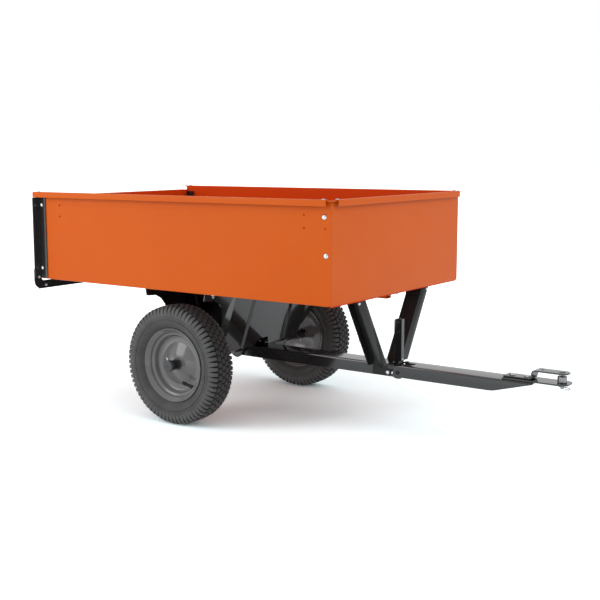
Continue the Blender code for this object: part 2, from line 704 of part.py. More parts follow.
def make_cheek(name, face, flange, top, black, mirror):
    """A plate between the support walls with a round boss for the axle and a top flange."""
    near = [(AXLE_X + support_wall_x(z) - FIT, z) for z in (CHEEK_SPREAD, top)]
    far = [(2 * AXLE_X - x, z) for x, z in reversed(near)]
    boss = arc((AXLE_X, AXLE_Z), CHEEK_BOSS, -165, -15, 8)
    outline = far + boss + near
    if flange > 0:
        section = folded([(face + flange, top), (face, top), (face, 0)], PLATE)
        cheek = piece(name, prism(section, "X", 0, 2 * AXLE_X), black, mirror=mirror)
        shape = tool(f"{name}_shape", prism(outline, "Y", face - PLATE, face + flange + PLATE), mirror)
        combine(cheek, shape, "INTERSECT")
    else:
        cheek = piece(name, prism(outline, "Y", face, face + PLATE), black, mirror=mirror)
    return cheek


def make_axle_group(black, zinc):
    """Support walls, cheeks, and the axle with its spacers and end caps."""
    make_support_wall("axle_support_front", 1, black)
    make_support_wall("axle_support_rear", -1, black)
    cheeks = []
    for side, mirror in SIDES:
        cheeks.append(make_cheek(f"inner_cheek_{side}", INNER_CHEEK_AT, CHEEK_FLANGE, HANG, black,
                                 mirror))
        cheeks.append(make_cheek(f"outer_cheek_{side}", OUTER_CHEEK_AT, 0, OUTER_CHEEK_TOP, black,
                                 mirror))
    drill(cheeks, "axle_drill", (AXLE_X, 0, AXLE_Z), "Y", AXLE_RADIUS + FIT, BED_WIDTH, AXLE_STEPS)

    centre = (AXLE_X, 0, AXLE_Z)
    end, edge = CAP_END - AXLE_END_GAP, AXLE_RADIUS - CAP_CHAMFER
    shaft = [(-end, 0), (-end, edge), (CAP_CHAMFER - end, AXLE_RADIUS),
             (end - CAP_CHAMFER, AXLE_RADIUS), (end, edge), (end, 0)]
    piece("axle", turned(shaft, "Y", centre, AXLE_STEPS), zinc)
    hole = bore(AXLE_RADIUS, AXLE_STEPS)
    for side, mirror in SIDES:
        start, stop = OUTER_CHEEK_AT + PLATE + FIT, HUB_START - FIT
        wall = AXLE_RADIUS + SPACER_WALL
        spacer = [(start, hole), (start, wall), (stop, wall), (stop, hole)]
        piece(f"axle_spacer_{side}", turned(spacer, "Y", centre, AXLE_STEPS), black, mirror=mirror)
        cap = [(end + FIT, 0), (end + FIT, hole), (CAP_START, hole), (CAP_START, CAP_RADIUS),
               (CAP_END - CAP_CHAMFER, CAP_RADIUS), (CAP_END, CAP_RADIUS - CAP_CHAMFER), (CAP_END, 0)]
        piece(f"axle_cap_{side}", turned(cap, "Y", centre, AXLE_STEPS), black, mirror=mirror)


def tyre_mesh():
    """Tyre section swept round the wheel, with a lug and a groove for each shoulder block."""
    wide, top = TYRE_HALF_WIDTH, TYRE_RADIUS
    side = [(SEAT_AT - FIT, SEAT_RADIUS + 2 * FIT),
            (RIM_HALF_WIDTH - FIT, RIM_RADIUS + 2 * RIM_EDGE), (SIDE_WALL * wide, top - SIDE_WALL_DROP)]
    lug = [(LUG_FOOT * wide, top - LUG_FOOT_DROP), (TREAD_EDGE * wide, top - TREAD_EDGE_DROP)]
    crown = [(CROWN * wide, top - CROWN_DROP), (0, top)]
    section = [(-y, r) for y, r in side + lug + crown] + (side + lug + crown[:-1])[::-1]
    lugged = {y for y, _ in lug}
    bm = bmesh.new()
    rings = []
    for y, r in section:
        fine = abs(y) in lugged
        steps = 2 * LUGS if fine else LUGS
        ring = []
        for k in range(steps):
            angle = math.tau * k / steps
            groove = fine and k % 2
            reach = r - LUG_DEPTH * groove
            out = y * (1 - LUG_INSET * groove)
            ring.append(bm.verts.new((reach * math.cos(angle), out, reach * math.sin(angle))))
        rings.append(ring)
    for first, second in zip(rings, rings[1:] + rings[:1]):
        join_rings(bm, first, second)
    bmesh.ops.recalc_face_normals(bm, faces=bm.faces)
    return bm


def join_rings(bm, first, second):
    """Faces between two rings with equal steps, or with twice as many on one of them."""
    if len(first) > len(second):
        first, second = second, first
    count = len(first)
    for k in range(count):
        j = (k + 1) % count
        if len(second) == count:
            bm.faces.new((first[k], second[k], second[j], first[j]))
            continue
        a, b, c = second[2 * k], second[2 * k + 1], second[(2 * k + 2) % len(second)]
        bm.faces.new((first[k], a, b))
        bm.faces.new((first[k], b, first[j]))
        bm.faces.new((first[j], b, c))


def rim_profile():
    """Closed section of the pressed rim: bead seats, well, and a disc with a raised cone."""
    well, seat, tip = WELL_RADIUS, SEAT_RADIUS, RIM_RADIUS
    under_well, under_seat = well - RIM_WALL, seat - RIM_WALL
    hub, half, behind = HUB_RADIUS + FIT, RIM_HALF_WIDTH, DISC_AT - DISC_WALL
    face = [(half, tip), (SEAT_AT + FIT, under_seat), (WELL_HALF_WIDTH + FIT, under_well),
            (DISC_AT + CONE_RISE, under_well), (DISC_AT, DISC_RADIUS), (DISC_AT, CONE_RADIUS),
            (DISC_AT + CONE_RISE, hub)]
    back = [(behind + CONE_RISE, hub), (behind, CONE_RADIUS), (behind, under_well),
            (-WELL_HALF_WIDTH - FIT, under_well), (-SEAT_AT - FIT, under_seat), (-half, tip)]
    seats = [(RIM_EDGE - half, tip + RIM_EDGE / 2), (-SEAT_AT, seat), (-WELL_HALF_WIDTH, well),
             (WELL_HALF_WIDTH, well), (SEAT_AT, seat), (half - RIM_EDGE, tip + RIM_EDGE / 2)]
    return face + back + seats


def hub_profile(inner):
    """Closed section of the hub tube with its outer grooves."""
    profile = [(-HUB_IN, inner), (-HUB_IN, HUB_RADIUS)]
    for at in HUB_GROOVES:
        low, wide = HUB_RADIUS - HUB_GROOVE_DEPTH, HUB_GROOVE_WIDTH
        profile += [(at, HUB_RADIUS), (at, low), (at + wide, low), (at + wide, HUB_RADIUS)]
    return profile + [(HUB_OUT, HUB_RADIUS), (HUB_OUT, inner)]


def wheel_point(degrees, radius, out):
    """A point on the left wheel, from its angle, radius and distance out of its middle plane."""
    angle = math.radians(degrees)
    return Vector((AXLE_X + radius * math.cos(angle), WHEEL_OFFSET + out,
                   AXLE_Z + radius * math.sin(angle)))


def valve_mesh():
    """Rubber valve from the rim's well, leaning out towards the hub."""
    foot = wheel_point(VALVE_ANGLE, VALVE_FOOT_RADIUS - RIM_WALL - FIT, VALVE_FOOT_AT)
    tip = wheel_point(VALVE_TIP_ANGLE, VALVE_TIP_RADIUS, VALVE_TIP_AT)
    lean, waist = tip - foot, 0.85 * VALVE_RADIUS
    length = lean.length
    profile = [(0, 0), (0, VALVE_RADIUS), (0.25 * length, waist), (0.7 * length, waist),
               (0.75 * length, VALVE_RADIUS), (length, waist), (length, 0)]
    stem = turned(profile, "Z", (0, 0, 0), 8)
    turn = Vector((0, 0, 1)).rotation_difference(lean).to_matrix().to_4x4()
    bmesh.ops.transform(stem, matrix=Matrix.Translation(foot) @ turn, verts=stem.verts)
    return stem


def make_wheel(side, mirror, rubber, grey, black):
    """Tyre, rim, hub tube, two flanged bushes and the valve, turning on the axle."""
    centre = (AXLE_X, -WHEEL_OFFSET if mirror else WHEEL_OFFSET, AXLE_Z)
    origin = (AXLE_X, WHEEL_OFFSET, AXLE_Z)
    tyre = tyre_mesh()
    bmesh.ops.translate(tyre, vec=origin, verts=tyre.verts)
    piece(f"tyre_{side}", tyre, rubber, centre, mirror)
    piece(f"rim_{side}", turned(rim_profile(), "Y", origin, RIM_STEPS), grey, centre, mirror)

    bush_outer = AXLE_RADIUS + BUSH_WALL
    inner = (bush_outer + FIT) / math.cos(math.pi / HUB_STEPS)
    hub = turned(hub_profile(inner), "Y", origin, HUB_STEPS)
    piece(f"hub_{side}", hub, black, centre, mirror)

    hole = bore(AXLE_RADIUS, HUB_STEPS)
    flange = HUB_RADIUS - FIT
    outer = [(HUB_OUT - BUSH_LENGTH, hole), (HUB_OUT - BUSH_LENGTH, bush_outer),
             (HUB_OUT + FIT, bush_outer), (HUB_OUT + FIT, flange), (HUB_OUT + BUSH_FLANGE, flange),
             (HUB_OUT + BUSH_FLANGE, hole)]
    piece(f"outer_bush_{side}", turned(outer, "Y", origin, HUB_STEPS), black, centre, mirror)
    inner_bush = [(HUB_OUT - HUB_IN - y, r) for y, r in outer]
    piece(f"inner_bush_{side}", turned(inner_bush, "Y", origin, HUB_STEPS), black, centre, mirror)
    piece(f"valve_stem_{side}", valve_mesh(), rubber, centre, mirror)


def make_strut(side, mirror, black, head, knee):
    """Splayed channel whose web ends in a flat tab round the latch bar."""
    rear, front = STRUT_X - STRUT_WIDTH / 2, STRUT_X + STRUT_WIDTH / 2
    foot, along = knee.x, (head - knee).normalized()
    out = Vector((along.y, -along.x))
    beyond, overlap = head + MOUNT_LEG * along, out * PLATE / 3
    path = [tuple(beyond), tuple(knee), (foot, TAB_BOTTOM - PLATE)]
    strut = piece(f"strut_{side}", prism(folded(path, PLATE), "X", rear, front), black,
                  mirror=mirror)
    for edge, x, depth in zip(("rear", "front"), (rear, front - PLATE), STRUT_FLANGES):
        wedge = [knee + overlap, knee + FLANGE_CUT * along + depth * out, beyond + depth * out,
                 beyond + overlap]
        flange = prism(wedge, "X", x, x + PLATE)
        combine(strut, tool(f"strut_flange_{edge}_{side}", flange, mirror), "UNION")
    trim = block((rear - PLATE, 0, BED_BOTTOM - FIT), (front + PLATE, HALF, BED_TOP))
    combine(strut, tool(f"strut_top_trim_{side}", trim, mirror))
    tab = block((front - PLATE, foot, BAR_Z - 2 * TAB_RADIUS),
                (BAR_X + 2 * TAB_RADIUS, foot + PLATE, BAR_Z + TAB_RADIUS))
    combine(strut, tool(f"strut_tab_{side}", tab, mirror), "UNION")
    ear = arc((BAR_X, BAR_Z), TAB_RADIUS, -90, 60, 6)
    shape = [(rear - PLATE, BAR_Z - TAB_RADIUS), *ear, (front, BAR_Z + TAB_RADIUS),
             (front + PLATE, STRUT_KNEE), (front + PLATE, BED_TOP), (rear - PLATE, BED_TOP)]
    combine(strut, tool(f"strut_shape_{side}", prism(shape, "Y", 0, HALF), mirror), "INTERSECT")
    return strut


def make_struts(black, zinc):
    """Splayed channels from the floor to the tongue's sides, their mounts and the latch bar."""
    foot = TONGUE_HALF_WIDTH + STRUT_GAP
    knee, head = Vector((foot, STRUT_KNEE)), Vector((STRUT_TOP_Y, HANG))
    along = (head - knee).normalized()
    struts = []
    for side, mirror in SIDES:
        struts.append(make_strut(side, mirror, black, head, knee))
        inner = head - FIT * Vector((along.y, -along.x))
        path = [tuple(inner - MOUNT_LEG * along), (inner.x, HANG), (inner.x - MOUNT_LEG, HANG)]
        mount = prism(folded(path, PLATE), "X", STRUT_X - STRUT_WIDTH / 2,
                      BED_LENGTH - FOOT_FLANGE - FIT)
        piece(f"strut_mount_{side}", mount, black, mirror=mirror)
    drill(struts, "latch_bar_drill", (BAR_X, 0, BAR_Z), "Y", BAR_RADIUS + FIT, BED_WIDTH)
    face = foot + PLATE + FIT
    end = face + BAR_HEAD_LENGTH
    head = [(face, BAR_RADIUS), (face, BAR_HEAD), (end - BAR_HEAD / 4, BAR_HEAD),
            (end, 0.75 * BAR_HEAD), (end, 0)]
    profile = [(-y, r) for y, r in reversed(head)] + head
    piece("latch_bar", turned(profile, "Y", (BAR_X, 0, BAR_Z), 12), zinc)


def make_tongue(black, zinc):
    """Tongue channel with its ears and latch notch, and its pivot bushes on the axle."""
    axle, half = (AXLE_X, 0, AXLE_Z), TONGUE_HALF_WIDTH
    depth, above = TONGUE_TOP - TONGUE_BOTTOM, TONGUE_TOP + PLATE
    low = TONGUE_BOTTOM - depth
    section = folded([(half, low), (half, TONGUE_TOP), (-half, TONGUE_TOP), (-half, low)], PLATE,
                     TONGUE_BEND)
    tongue = piece("tongue", prism(section, "X", AXLE_X - depth, TONGUE_FRONT + PLATE), black, axle)
    round_end = arc((AXLE_X, TONGUE_MID), depth / 2, 90, 270, 8)
    ear = [(PIVOT_X + EAR_HALF * c, TONGUE_BOTTOM + EAR_DROP * s)
           for c, s in arc((0, 0), 1, -180, 0, 8)]
    taper = [(TONGUE_TAPER, TONGUE_BOTTOM), (TONGUE_FRONT, TONGUE_TOP - TONGUE_TIP_HEIGHT),
             (TONGUE_FRONT, above), (AXLE_X, above)]
    corners = round_end + ear + taper
    radii = [0] * (len(corners) - len(taper)) + [TONGUE_TAPER_RADIUS, 0, 0, 0]
    shape = prism(rounded(corners, radii, 3), "Y", -HALF, HALF)
    combine(tongue, tool("tongue_shape", shape), "INTERSECT")
    bush_radius = AXLE_RADIUS + TONGUE_BUSH_WALL
    drill([tongue], "tongue_axle_drill", axle, "Y", bush_radius + FIT, BED_WIDTH, AXLE_STEPS)

    rear, front, under = BAR_X - NOTCH_REAR, BAR_X + NOTCH_FRONT, BAR_Z - BAR_RADIUS - FIT
    flare = arc((front + NOTCH_FLARE, TONGUE_TOP - NOTCH_FLARE), NOTCH_FLARE, 180, 90, 3)
    notch = [(rear, above), (rear, under), (front, under), *flare, (front + NOTCH_FLARE, above)]
    radii = [0, NOTCH_CORNER, NOTCH_CORNER] + [0] * (len(flare) + 1)
    combine(tongue, tool("latch_notch", prism(rounded(notch, radii), "Y", -HALF, HALF)))
    slot_half = LEVER_HALF_WIDTH + SLOT_GAP
    slot = block((front - PLATE, -slot_half, TONGUE_TOP - 2 * PLATE),
                 (BAR_X + SLOT_FRONT, slot_half, above))
    combine(tongue, tool("lever_slot", slot))

    hole, flange = bore(AXLE_RADIUS, AXLE_STEPS), bush_radius + TONGUE_BUSH_FLANGE
    for side, mirror in SIDES:
        start, stop = half - PLATE - 3 * FIT, INNER_CHEEK_AT - FIT
        profile = [(start, hole), (start, bush_radius), (half + FIT, bush_radius),
                   (half + FIT, flange), (stop, flange), (stop, hole)]
        piece(f"tongue_bush_{side}", turned(profile, "Y", axle, AXLE_STEPS), zinc, axle, mirror)
    return tongue


def hitch_outline(tip, half, corner, rear):
    """Flat outline of a hitch iron: square behind, rounded corners at the tip."""
    return rounded([(rear, -half), (tip, -half), (tip, half), (rear, half)], [0, corner, corner, 0], 5)


def make_hitch(tongue, black, zinc):
    """Lower plate and bent strap, their two bolts, and the spacer round the drop pin."""
    axle, low = (AXLE_X, 0, AXLE_Z), TONGUE_TOP + FIT
    flat = hitch_outline(HITCH_TIP, HITCH_HALF_WIDTH, HITCH_CORNER, HITCH_REAR)
    plate = piece("hitch_plate", prism(flat, "Z", low, PLATE_TOP), black, axle)

    base, under = PLATE_TOP + FIT, STRAP_TOP - HITCH_PLATE
    path = [(HITCH_REAR, base), (STRAP_BEND, base), (STRAP_BEND, under), (HITCH_TIP, under)]
    wide = STRAP_HALF_WIDTH + PLATE
    strap = piece("hitch_strap", prism(folded(path, HITCH_PLATE, STRAP_FOLD), "Y", -wide, wide),
                  black, axle)
    crown = hitch_outline(STRAP_TIP, STRAP_HALF_WIDTH, STRAP_CORNER, HITCH_REAR - PLATE)
    combine(strap, tool("strap_shape", prism(crown, "Z", 0, BED_TOP)), "INTERSECT")
    drill([plate, strap], "pin_drill", (PIN_X, 0, PLATE_TOP), "Z", PIN_RADIUS + FIT, STRAP_TOP, 16)
    drill([strap], "spare_drill", (STRAP_BEND + SPARE_FROM_BEND, 0, STRAP_TOP), "Z", SPARE_HOLE,
          4 * HITCH_PLATE)

    top, nut = base + HITCH_PLATE + FIT, TONGUE_TOP - PLATE - FIT
    crown, head = HITCH_BOLT_CROWN, HITCH_BOLT_HEAD
    for name, offset in zip(("rear", "front"), HITCH_BOLTS):
        x = HITCH_REAR + offset
        drill([tongue, plate, strap], f"hitch_bolt_drill_{name}", (x, 0, PLATE_TOP), "Z",
              HITCH_BOLT_RADIUS + FIT, HITCH_LENGTH / 3, 10)
        dome = [(nut - HITCH_NUT_DEPTH, 0), (nut - HITCH_NUT_DEPTH, HITCH_NUT_RADIUS),
                (nut, HITCH_NUT_RADIUS), (nut, HITCH_BOLT_RADIUS), (top, HITCH_BOLT_RADIUS),
                (top, head), (top + 0.48 * crown, 0.89 * head), (top + 0.88 * crown, 0.52 * head),
                (top + crown, 0)]
        piece(f"hitch_bolt_{name}", turned(dome, "Z", (x, 0, 0), 12), zinc, axle)

    hole = (PIN_RADIUS + 2 * FIT) / math.cos(math.pi / 20)
    edge, high = SPACER_RADIUS - SPACER_CHAMFER, base + SPACER_HEIGHT
    profile = [(base, hole), (base, edge), (base + SPACER_CHAMFER, SPACER_RADIUS),
               (high - SPACER_CHAMFER, SPACER_RADIUS), (high, edge), (high, hole)]
    piece("hitch_spacer", turned(profile, "Z", (PIN_X, 0, 0), 20), zinc, axle)


def lever_outline():
    """Side view of the latch lever: square top, hook over the bar, round foot at the pivot."""
    front, throat, tip = LEVER_X + LEVER_DEPTH, BAR_RADIUS + HOOK_GAP, BAR_X - HOOK_TIP
    hook, neck, neck_top = BAR_Z + HOOK_HEIGHT, LEVER_X + LEVER_NECK, LEVER_TOP - NECK_DROP
    upper = [(front, LEVER_TOP), (LEVER_X, LEVER_TOP), (LEVER_X, neck_top + LEVER_NECK),
             (neck, neck_top), (neck, hook + HOOK_RISE), (tip, hook), (tip, BAR_Z + throat)]
    lower = arc((BAR_X, BAR_Z), throat, 90, 0, 4) + arc((PIVOT_X, PIVOT_Z), LEVER_BOSS, 190, 360, 8)
    corners = upper + lower + [(front, PIVOT_Z + LEVER_FOOT)]
    return rounded(corners, [0, LEVER_CORNER] + [0] * (len(corners) - 2), 3)


def make_latch(tongue, black, zinc):
    """Hooked channel lever, its pivot bolt and the coil spring beside it."""
    pivot, axle = (PIVOT_X, 0, PIVOT_Z), (AXLE_X, 0, AXLE_Z)
    front = LEVER_X + LEVER_DEPTH
    lever = piece("latch_lever", prism(lever_outline(), "Y", -LEVER_HALF_WIDTH, LEVER_HALF_WIDTH),
                  black, pivot)
    left, right = LEVER_X - LEVER_DEPTH, front + LEVER_DEPTH
    web_x, web_foot = front - LEVER_SHEET, PIVOT_Z + LEVER_WEB
    hollow = [(left, 0), (right, 0), (right, web_foot), (web_x, web_foot), (web_x, BED_TOP),
              (left, BED_TOP)]
    inside = LEVER_HALF_WIDTH - LEVER_SHEET
    combine(lever, tool("lever_hollow", prism(hollow, "Y", -inside, inside)))
    steps = 12
    drill([lever, tongue], "latch_pivot_drill", pivot, "Y", bore(PIVOT_RADIUS, steps), BED_WIDTH,
          steps)
    for number, drop in enumerate(LEVER_HOLE_DROPS):
        drill([lever], f"lever_hole_{number}", (LEVER_X + LEVER_HOLE_AT, 0, LEVER_TOP - drop), "Y",
              LEVER_HOLE, 4 * LEVER_HALF_WIDTH, 10)

    face = TONGUE_HALF_WIDTH + FIT
    head = [(face, PIVOT_RADIUS), (face, PIVOT_HEAD), (face + 0.7 * PIVOT_CROWN, 0.9 * PIVOT_HEAD),
            (face + PIVOT_CROWN, PIVOT_HEAD / 2), (face + PIVOT_CROWN, 0)]
    profile = [(-y, r) for y, r in reversed(head)] + head
    piece("latch_pivot_bolt", turned(profile, "Y", pivot, steps), black, axle)

    first = LEVER_HALF_WIDTH + 2 * SPRING_WIRE + SPRING_GAP
    pitch = 2 * SPRING_WIRE + SPRING_PITCH_GAP
    coil = []
    for k in range(SPRING_TURNS * SPRING_STEPS + 1):
        turn = k / SPRING_STEPS
        x, z = arc((PIVOT_X, PIVOT_Z), SPRING_COIL, 90 + 360 * turn, 0, 1)[0]
        coil.append((x, first + pitch * turn, z))
    tail, leg = Vector(coil[0]), Vector(coil[-1])
    coil.insert(0, tail - Vector((SPRING_TAIL, 0, SPRING_WIRE)))
    coil.append(leg + Vector((SPRING_LEG, 0, SPRING_WIRE)))
    tube(coil, SPRING_WIRE, 6, "latch_spring", zinc, axle)


def make_hitch_pin(zinc):
    """Drop pin with a low round head, and the wire clip through its lower end."""
    under, head = TONGUE_TOP + FIT, STRAP_TOP + FIT
    low, level = under - PIN_DROP, under - CLIP_DROP
    edge, top = PIN_RADIUS / 3, head + PIN_HEAD_HEIGHT
    profile = [(low, 0), (low, PIN_RADIUS - edge), (low + edge, PIN_RADIUS), (head, PIN_RADIUS),
               (head, PIN_HEAD), (head + PIN_HEAD_HEIGHT / 2, PIN_HEAD), (top, 0.8 * PIN_HEAD),
               (top, 0)]
    pin = piece("hitch_pin", turned(profile, "Z", (PIN_X, 0, 0), 16), zinc, (PIN_X, 0, low))
    drill([pin], "clip_drill", (PIN_X, 0, level), "X", CLIP_WIRE + FIT, 6 * PIN_RADIUS, 8)

    start, reach, middle = PIN_X - PIN_RADIUS - CLIP_TAIL, PIN_X + CLIP_LENGTH, level - CLIP_BOW / 2
    loop = [(reach + CLIP_TAIL * c, 0, middle + CLIP_BOW / 2 * s)
            for c, s in arc((0, 0), 1, 65, -90, 4)]
    wire = [(start, 0, level), (reach - CLIP_TAIL, 0, level), *loop,
            (reach - CLIP_BOW, 0, level - 0.92 * CLIP_BOW),
            (PIN_X + 1.6 * CLIP_END, 0, level - 1.15 * CLIP_BOW),
            (PIN_X + CLIP_END, 0, level - 0.94 * CLIP_BOW)]
    tube(wire, CLIP_WIRE, 6, "hitch_clip", zinc, (PIN_X, 0, level))


def main():
    """Build every piece."""
    for obj in list(bpy.data.objects):
        bpy.data.objects.remove(obj)
    orange = material("orange_paint", srgb(212, 98, 46), 0.42)
    black = material("black_paint", srgb(34, 34, 36), 0.32)
    grey = material("grey_paint", srgb(112, 114, 116), 0.40, 0.2)
    zinc = material("zinc_plate", srgb(190, 192, 196), 0.35, 0.9)
    rubber = material("rubber", srgb(38, 38, 40), 0.75)
    make_bed(orange)
    make_rear_frame(orange, black)
    make_axle_group(black, zinc)
    for side, mirror in SIDES:
        make_wheel(side, mirror, rubber, grey, black)
    make_struts(black, zinc)
    tongue = make_tongue(black, zinc)
    make_hitch(tongue, black, zinc)
    make_latch(tongue, black, zinc)
    make_hitch_pin(zinc)


if __name__ == "__main__":
    main()
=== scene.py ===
"""Dress the garden trailer: paint, rubber and zinc, its tyres and small fasteners.

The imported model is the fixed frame. Folded panels, brackets and the tongue are copied from
their solids and get rounded edges and paint. Wheels, hubs, bolts, pin, clip and spring are
modelled here at full detail over the same places. Everything is in metres, +X towards the
hitch, +Z up, and a part's sizes count x from the bed's rear edge.
"""
from __future__ import annotations

import logging
import math
from dataclasses import dataclass
from enum import Enum
from functools import cache
from typing import Callable, Iterable, Sequence

import bmesh
import bpy
from mathutils import Matrix, Vector

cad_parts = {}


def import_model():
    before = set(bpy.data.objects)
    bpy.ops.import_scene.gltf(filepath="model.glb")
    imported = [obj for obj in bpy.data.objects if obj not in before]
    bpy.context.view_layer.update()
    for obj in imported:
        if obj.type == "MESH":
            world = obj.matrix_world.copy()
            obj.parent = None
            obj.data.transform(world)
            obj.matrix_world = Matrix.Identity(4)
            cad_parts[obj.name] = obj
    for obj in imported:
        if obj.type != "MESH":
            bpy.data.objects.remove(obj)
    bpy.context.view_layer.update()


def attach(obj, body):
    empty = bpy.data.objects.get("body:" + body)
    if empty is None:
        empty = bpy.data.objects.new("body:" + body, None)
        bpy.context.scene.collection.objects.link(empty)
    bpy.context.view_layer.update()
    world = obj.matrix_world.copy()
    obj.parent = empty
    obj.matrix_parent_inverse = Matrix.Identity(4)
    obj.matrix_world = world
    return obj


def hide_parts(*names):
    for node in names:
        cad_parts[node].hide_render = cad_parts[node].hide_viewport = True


LOG = logging.getLogger("garden_trailer")
PHOTO_PIXELS = 600
BED_REAR_X = -0.843
AXLE = Vector((0.568 + BED_REAR_X, 0.0, 0.1926))
WHEEL = AXLE + Vector((0.0, 0.343, 0.0))
ORIGIN = Vector((0.0, 0.0, 0.0))
MIRROR = Matrix.Scale(-1.0, 4, (0.0, 1.0, 0.0))
HEX_ANGLE = math.radians(30.0)
TRAY_COSINE = 0.7
WHEEL_BODY = "wheel_{side}"

Colour = tuple[float, float, float]
Point = tuple[float, float, float]
Pair = tuple[float, float]
Station = tuple[float, float, float, float]
NutSizes = tuple[float, float, float, int]
Profile = Sequence[Pair]
Piece = bpy.types.Object
Socket = bpy.types.NodeSocket

OUT: Point = (0.0, 1.0, 0.0)
INWARD: Point = (0.0, -1.0, 0.0)
UP: Point = (0.0, 0.0, 1.0)
DOWN: Point = (0.0, 0.0, -1.0)
AHEAD: Point = (1.0, 0.0, 0.0)
BACK: Point = (-1.0, 0.0, 0.0)


class Side(Enum):
    """The two sides of the trailer, as the sign of Y."""

    LEFT = 1
    RIGHT = -1

    @property
    def word(self) -> str:
        """The side's word in a node's name."""
        return self.name.lower()


class Axis(Enum):
    """An axis that round pieces are turned about."""

    Y = Vector(OUT)
    Z = Vector(UP)

    @property
    def euler(self) -> Point:
        """The rotation that turns a primitive's own Z to this axis."""
        return tuple(Vector(UP).rotation_difference(self.value).to_euler())


def linear(colour: Colour) -> tuple[float, float, float, float]:
    """Turn a colour as seen on screen into Blender's linear values.

    Args:
        colour: Red, green and blue from 0 to 255.

    Returns:
        The linear colour with an alpha of 1.
    """
    def channel(value: float) -> float:
        """Undo the screen's curve for one channel."""
        value /= 255.0
        return value / 12.92 if value <= 0.04045 else ((value + 0.055) / 1.055) ** 2.4

    return (*(channel(value) for value in colour), 1.0)


class Shader:
    """A material's node tree, with short ways to add the nodes that the finishes share."""

    def __init__(self, name: str) -> None:
        """Start a material with only a Principled shader and its output.

        Args:
            name: The material's name.
        """
        self.material = bpy.data.materials.new(name)
        self.material.use_nodes = True
        self.nodes = self.material.node_tree.nodes
        self.links = self.material.node_tree.links
        self.surface = self.nodes["Principled BSDF"]
        self.place = self.nodes.new("ShaderNodeTexCoord").outputs["Object"]

    def set(self, **values: object) -> None:
        """Set the Principled shader's own sockets, named with underscores for spaces."""
        for name, value in values.items():
            self.surface.inputs[name.replace("_", " ")].default_value = value

    def add(self, kind: str, settings: dict[str, str] | None = None,
            **inputs: object) -> bpy.types.Node:
        """Add a node.

        Args:
            kind: The node's type.
            settings: Its own settings, made before its inputs.
            **inputs: A socket to link or a constant for each input, named as in set.

        Returns:
            The node.
        """
        node = self.nodes.new(kind)
        for name, value in (settings or {}).items():
            setattr(node, name, value)
        for name, value in inputs.items():
            socket = node.inputs[name.replace("_", " ")]
            if isinstance(value, Socket):
                self.links.new(value, socket)
            else:
                socket.default_value = value
        return node

    def noise(self, scale: float, detail: float, vector: Socket | None = None) -> Socket:
        """Soft noise with features in a metre and octaves, read at the piece's own place."""
        return self.add("ShaderNodeTexNoise", Scale=scale, Detail=detail,
                        Vector=vector or self.place).outputs["Fac"]

    def spread(self, value: Socket, low: float, high: float, start: float = 0.3,
               stop: float = 0.7) -> Socket:
        """Map a value between start and stop to the range from low to high."""
        return self.add("ShaderNodeMapRange", Value=value, From_Min=start, From_Max=stop,
                        To_Min=low, To_Max=high).outputs["Result"]

    def blend(self, amount: Socket, first: Colour, second: Colour) -> Socket:
        """Mix two colours by an amount between 0 and 1."""
        return self.add("ShaderNodeMix", {"data_type": "RGBA"}, Factor=amount, A=linear(first),
                        B=linear(second)).outputs["Result"]

    def feed(self, name: str, value: Socket) -> None:
        """Link a value to one of the Principled shader's sockets."""
        self.links.new(value, self.surface.inputs[name])


@dataclass(frozen=True)
class Finish:
    """A surface whose tone, roughness and height drift with noise over the piece."""

    name: str
    colour: Colour
    shade: Colour
    roughness: float
    relief: float = 0.00004
    gloss: float = 0.5
    patches = (40.0, 3.0)
    smear = (120.0, 3.0)
    wear = (0.88, 1.15)
    grain = (1400.0, 2.0)
    metal = 0.0
    sheen = 0.0

    def material(self) -> bpy.types.Material:
        """Build the finish's material."""
        shader = Shader(self.name)
        shader.set(Specular_IOR_Level=self.gloss, Metallic=self.metal, Sheen_Weight=self.sheen,
                   Sheen_Roughness=0.5)
        tone = shader.spread(shader.noise(*self.patches), 0.0, 1.0)
        shader.feed("Base Color", shader.blend(tone, self.colour, self.shade))
        smear, height = self.drifts(shader)
        low, high = (self.roughness * share for share in self.wear)
        shader.feed("Roughness", shader.spread(smear, low, high))
        bump = shader.add("ShaderNodeBump", Distance=self.relief, Strength=1.0, Height=height)
        shader.feed("Normal", bump.outputs["Normal"])
        return shader.material

    def drifts(self, shader: Shader) -> tuple[Socket, Socket]:
        """The noise behind a shader's roughness, and the one behind its height."""
        return shader.noise(*self.smear), shader.noise(*self.grain)


class Moulding(Finish):
    """Black moulded plastic with a fine spark-eroded texture."""


class Paint(Finish):
    """Sprayed or powder-coated paint with orange peel and a slow drift of tone."""

    patches = (2.6, 4.0)
    smear = (14.0, 3.0)
    wear = (0.95, 1.07)
    grain = (520.0, 2.0)


class Rubber(Finish):
    """Moulded tyre rubber: matt, with a greyer bloom and a fine grain."""

    patches = (16.0, 5.0)
    smear = (45.0, 3.0)
    wear = (0.9, 1.12)
    grain = (900.0, 3.0)
    sheen = 0.06


@dataclass(frozen=True)
class Plated(Finish):
    """Zinc plate or bare steel: metallic, with a fine grain along one way."""

    relief: float = 0.00003
    lay: Point = (300.0, 300.0, 300.0)
    patches = (90.0, 2.0)
    wear = (0.75, 1.3)
    metal = 1.0

    def drifts(self, shader: Shader) -> tuple[Socket, Socket]:
        """Drive both by one grain, stretched along the way that the metal was drawn.

        Args:
            shader: The material's shader.

        Returns:
            The same noise twice.
        """
        mapping = shader.add("ShaderNodeMapping", Scale=self.lay, Vector=shader.place)
        lines = shader.noise(1.0, 2.0, mapping.outputs["Vector"])
        return lines, lines


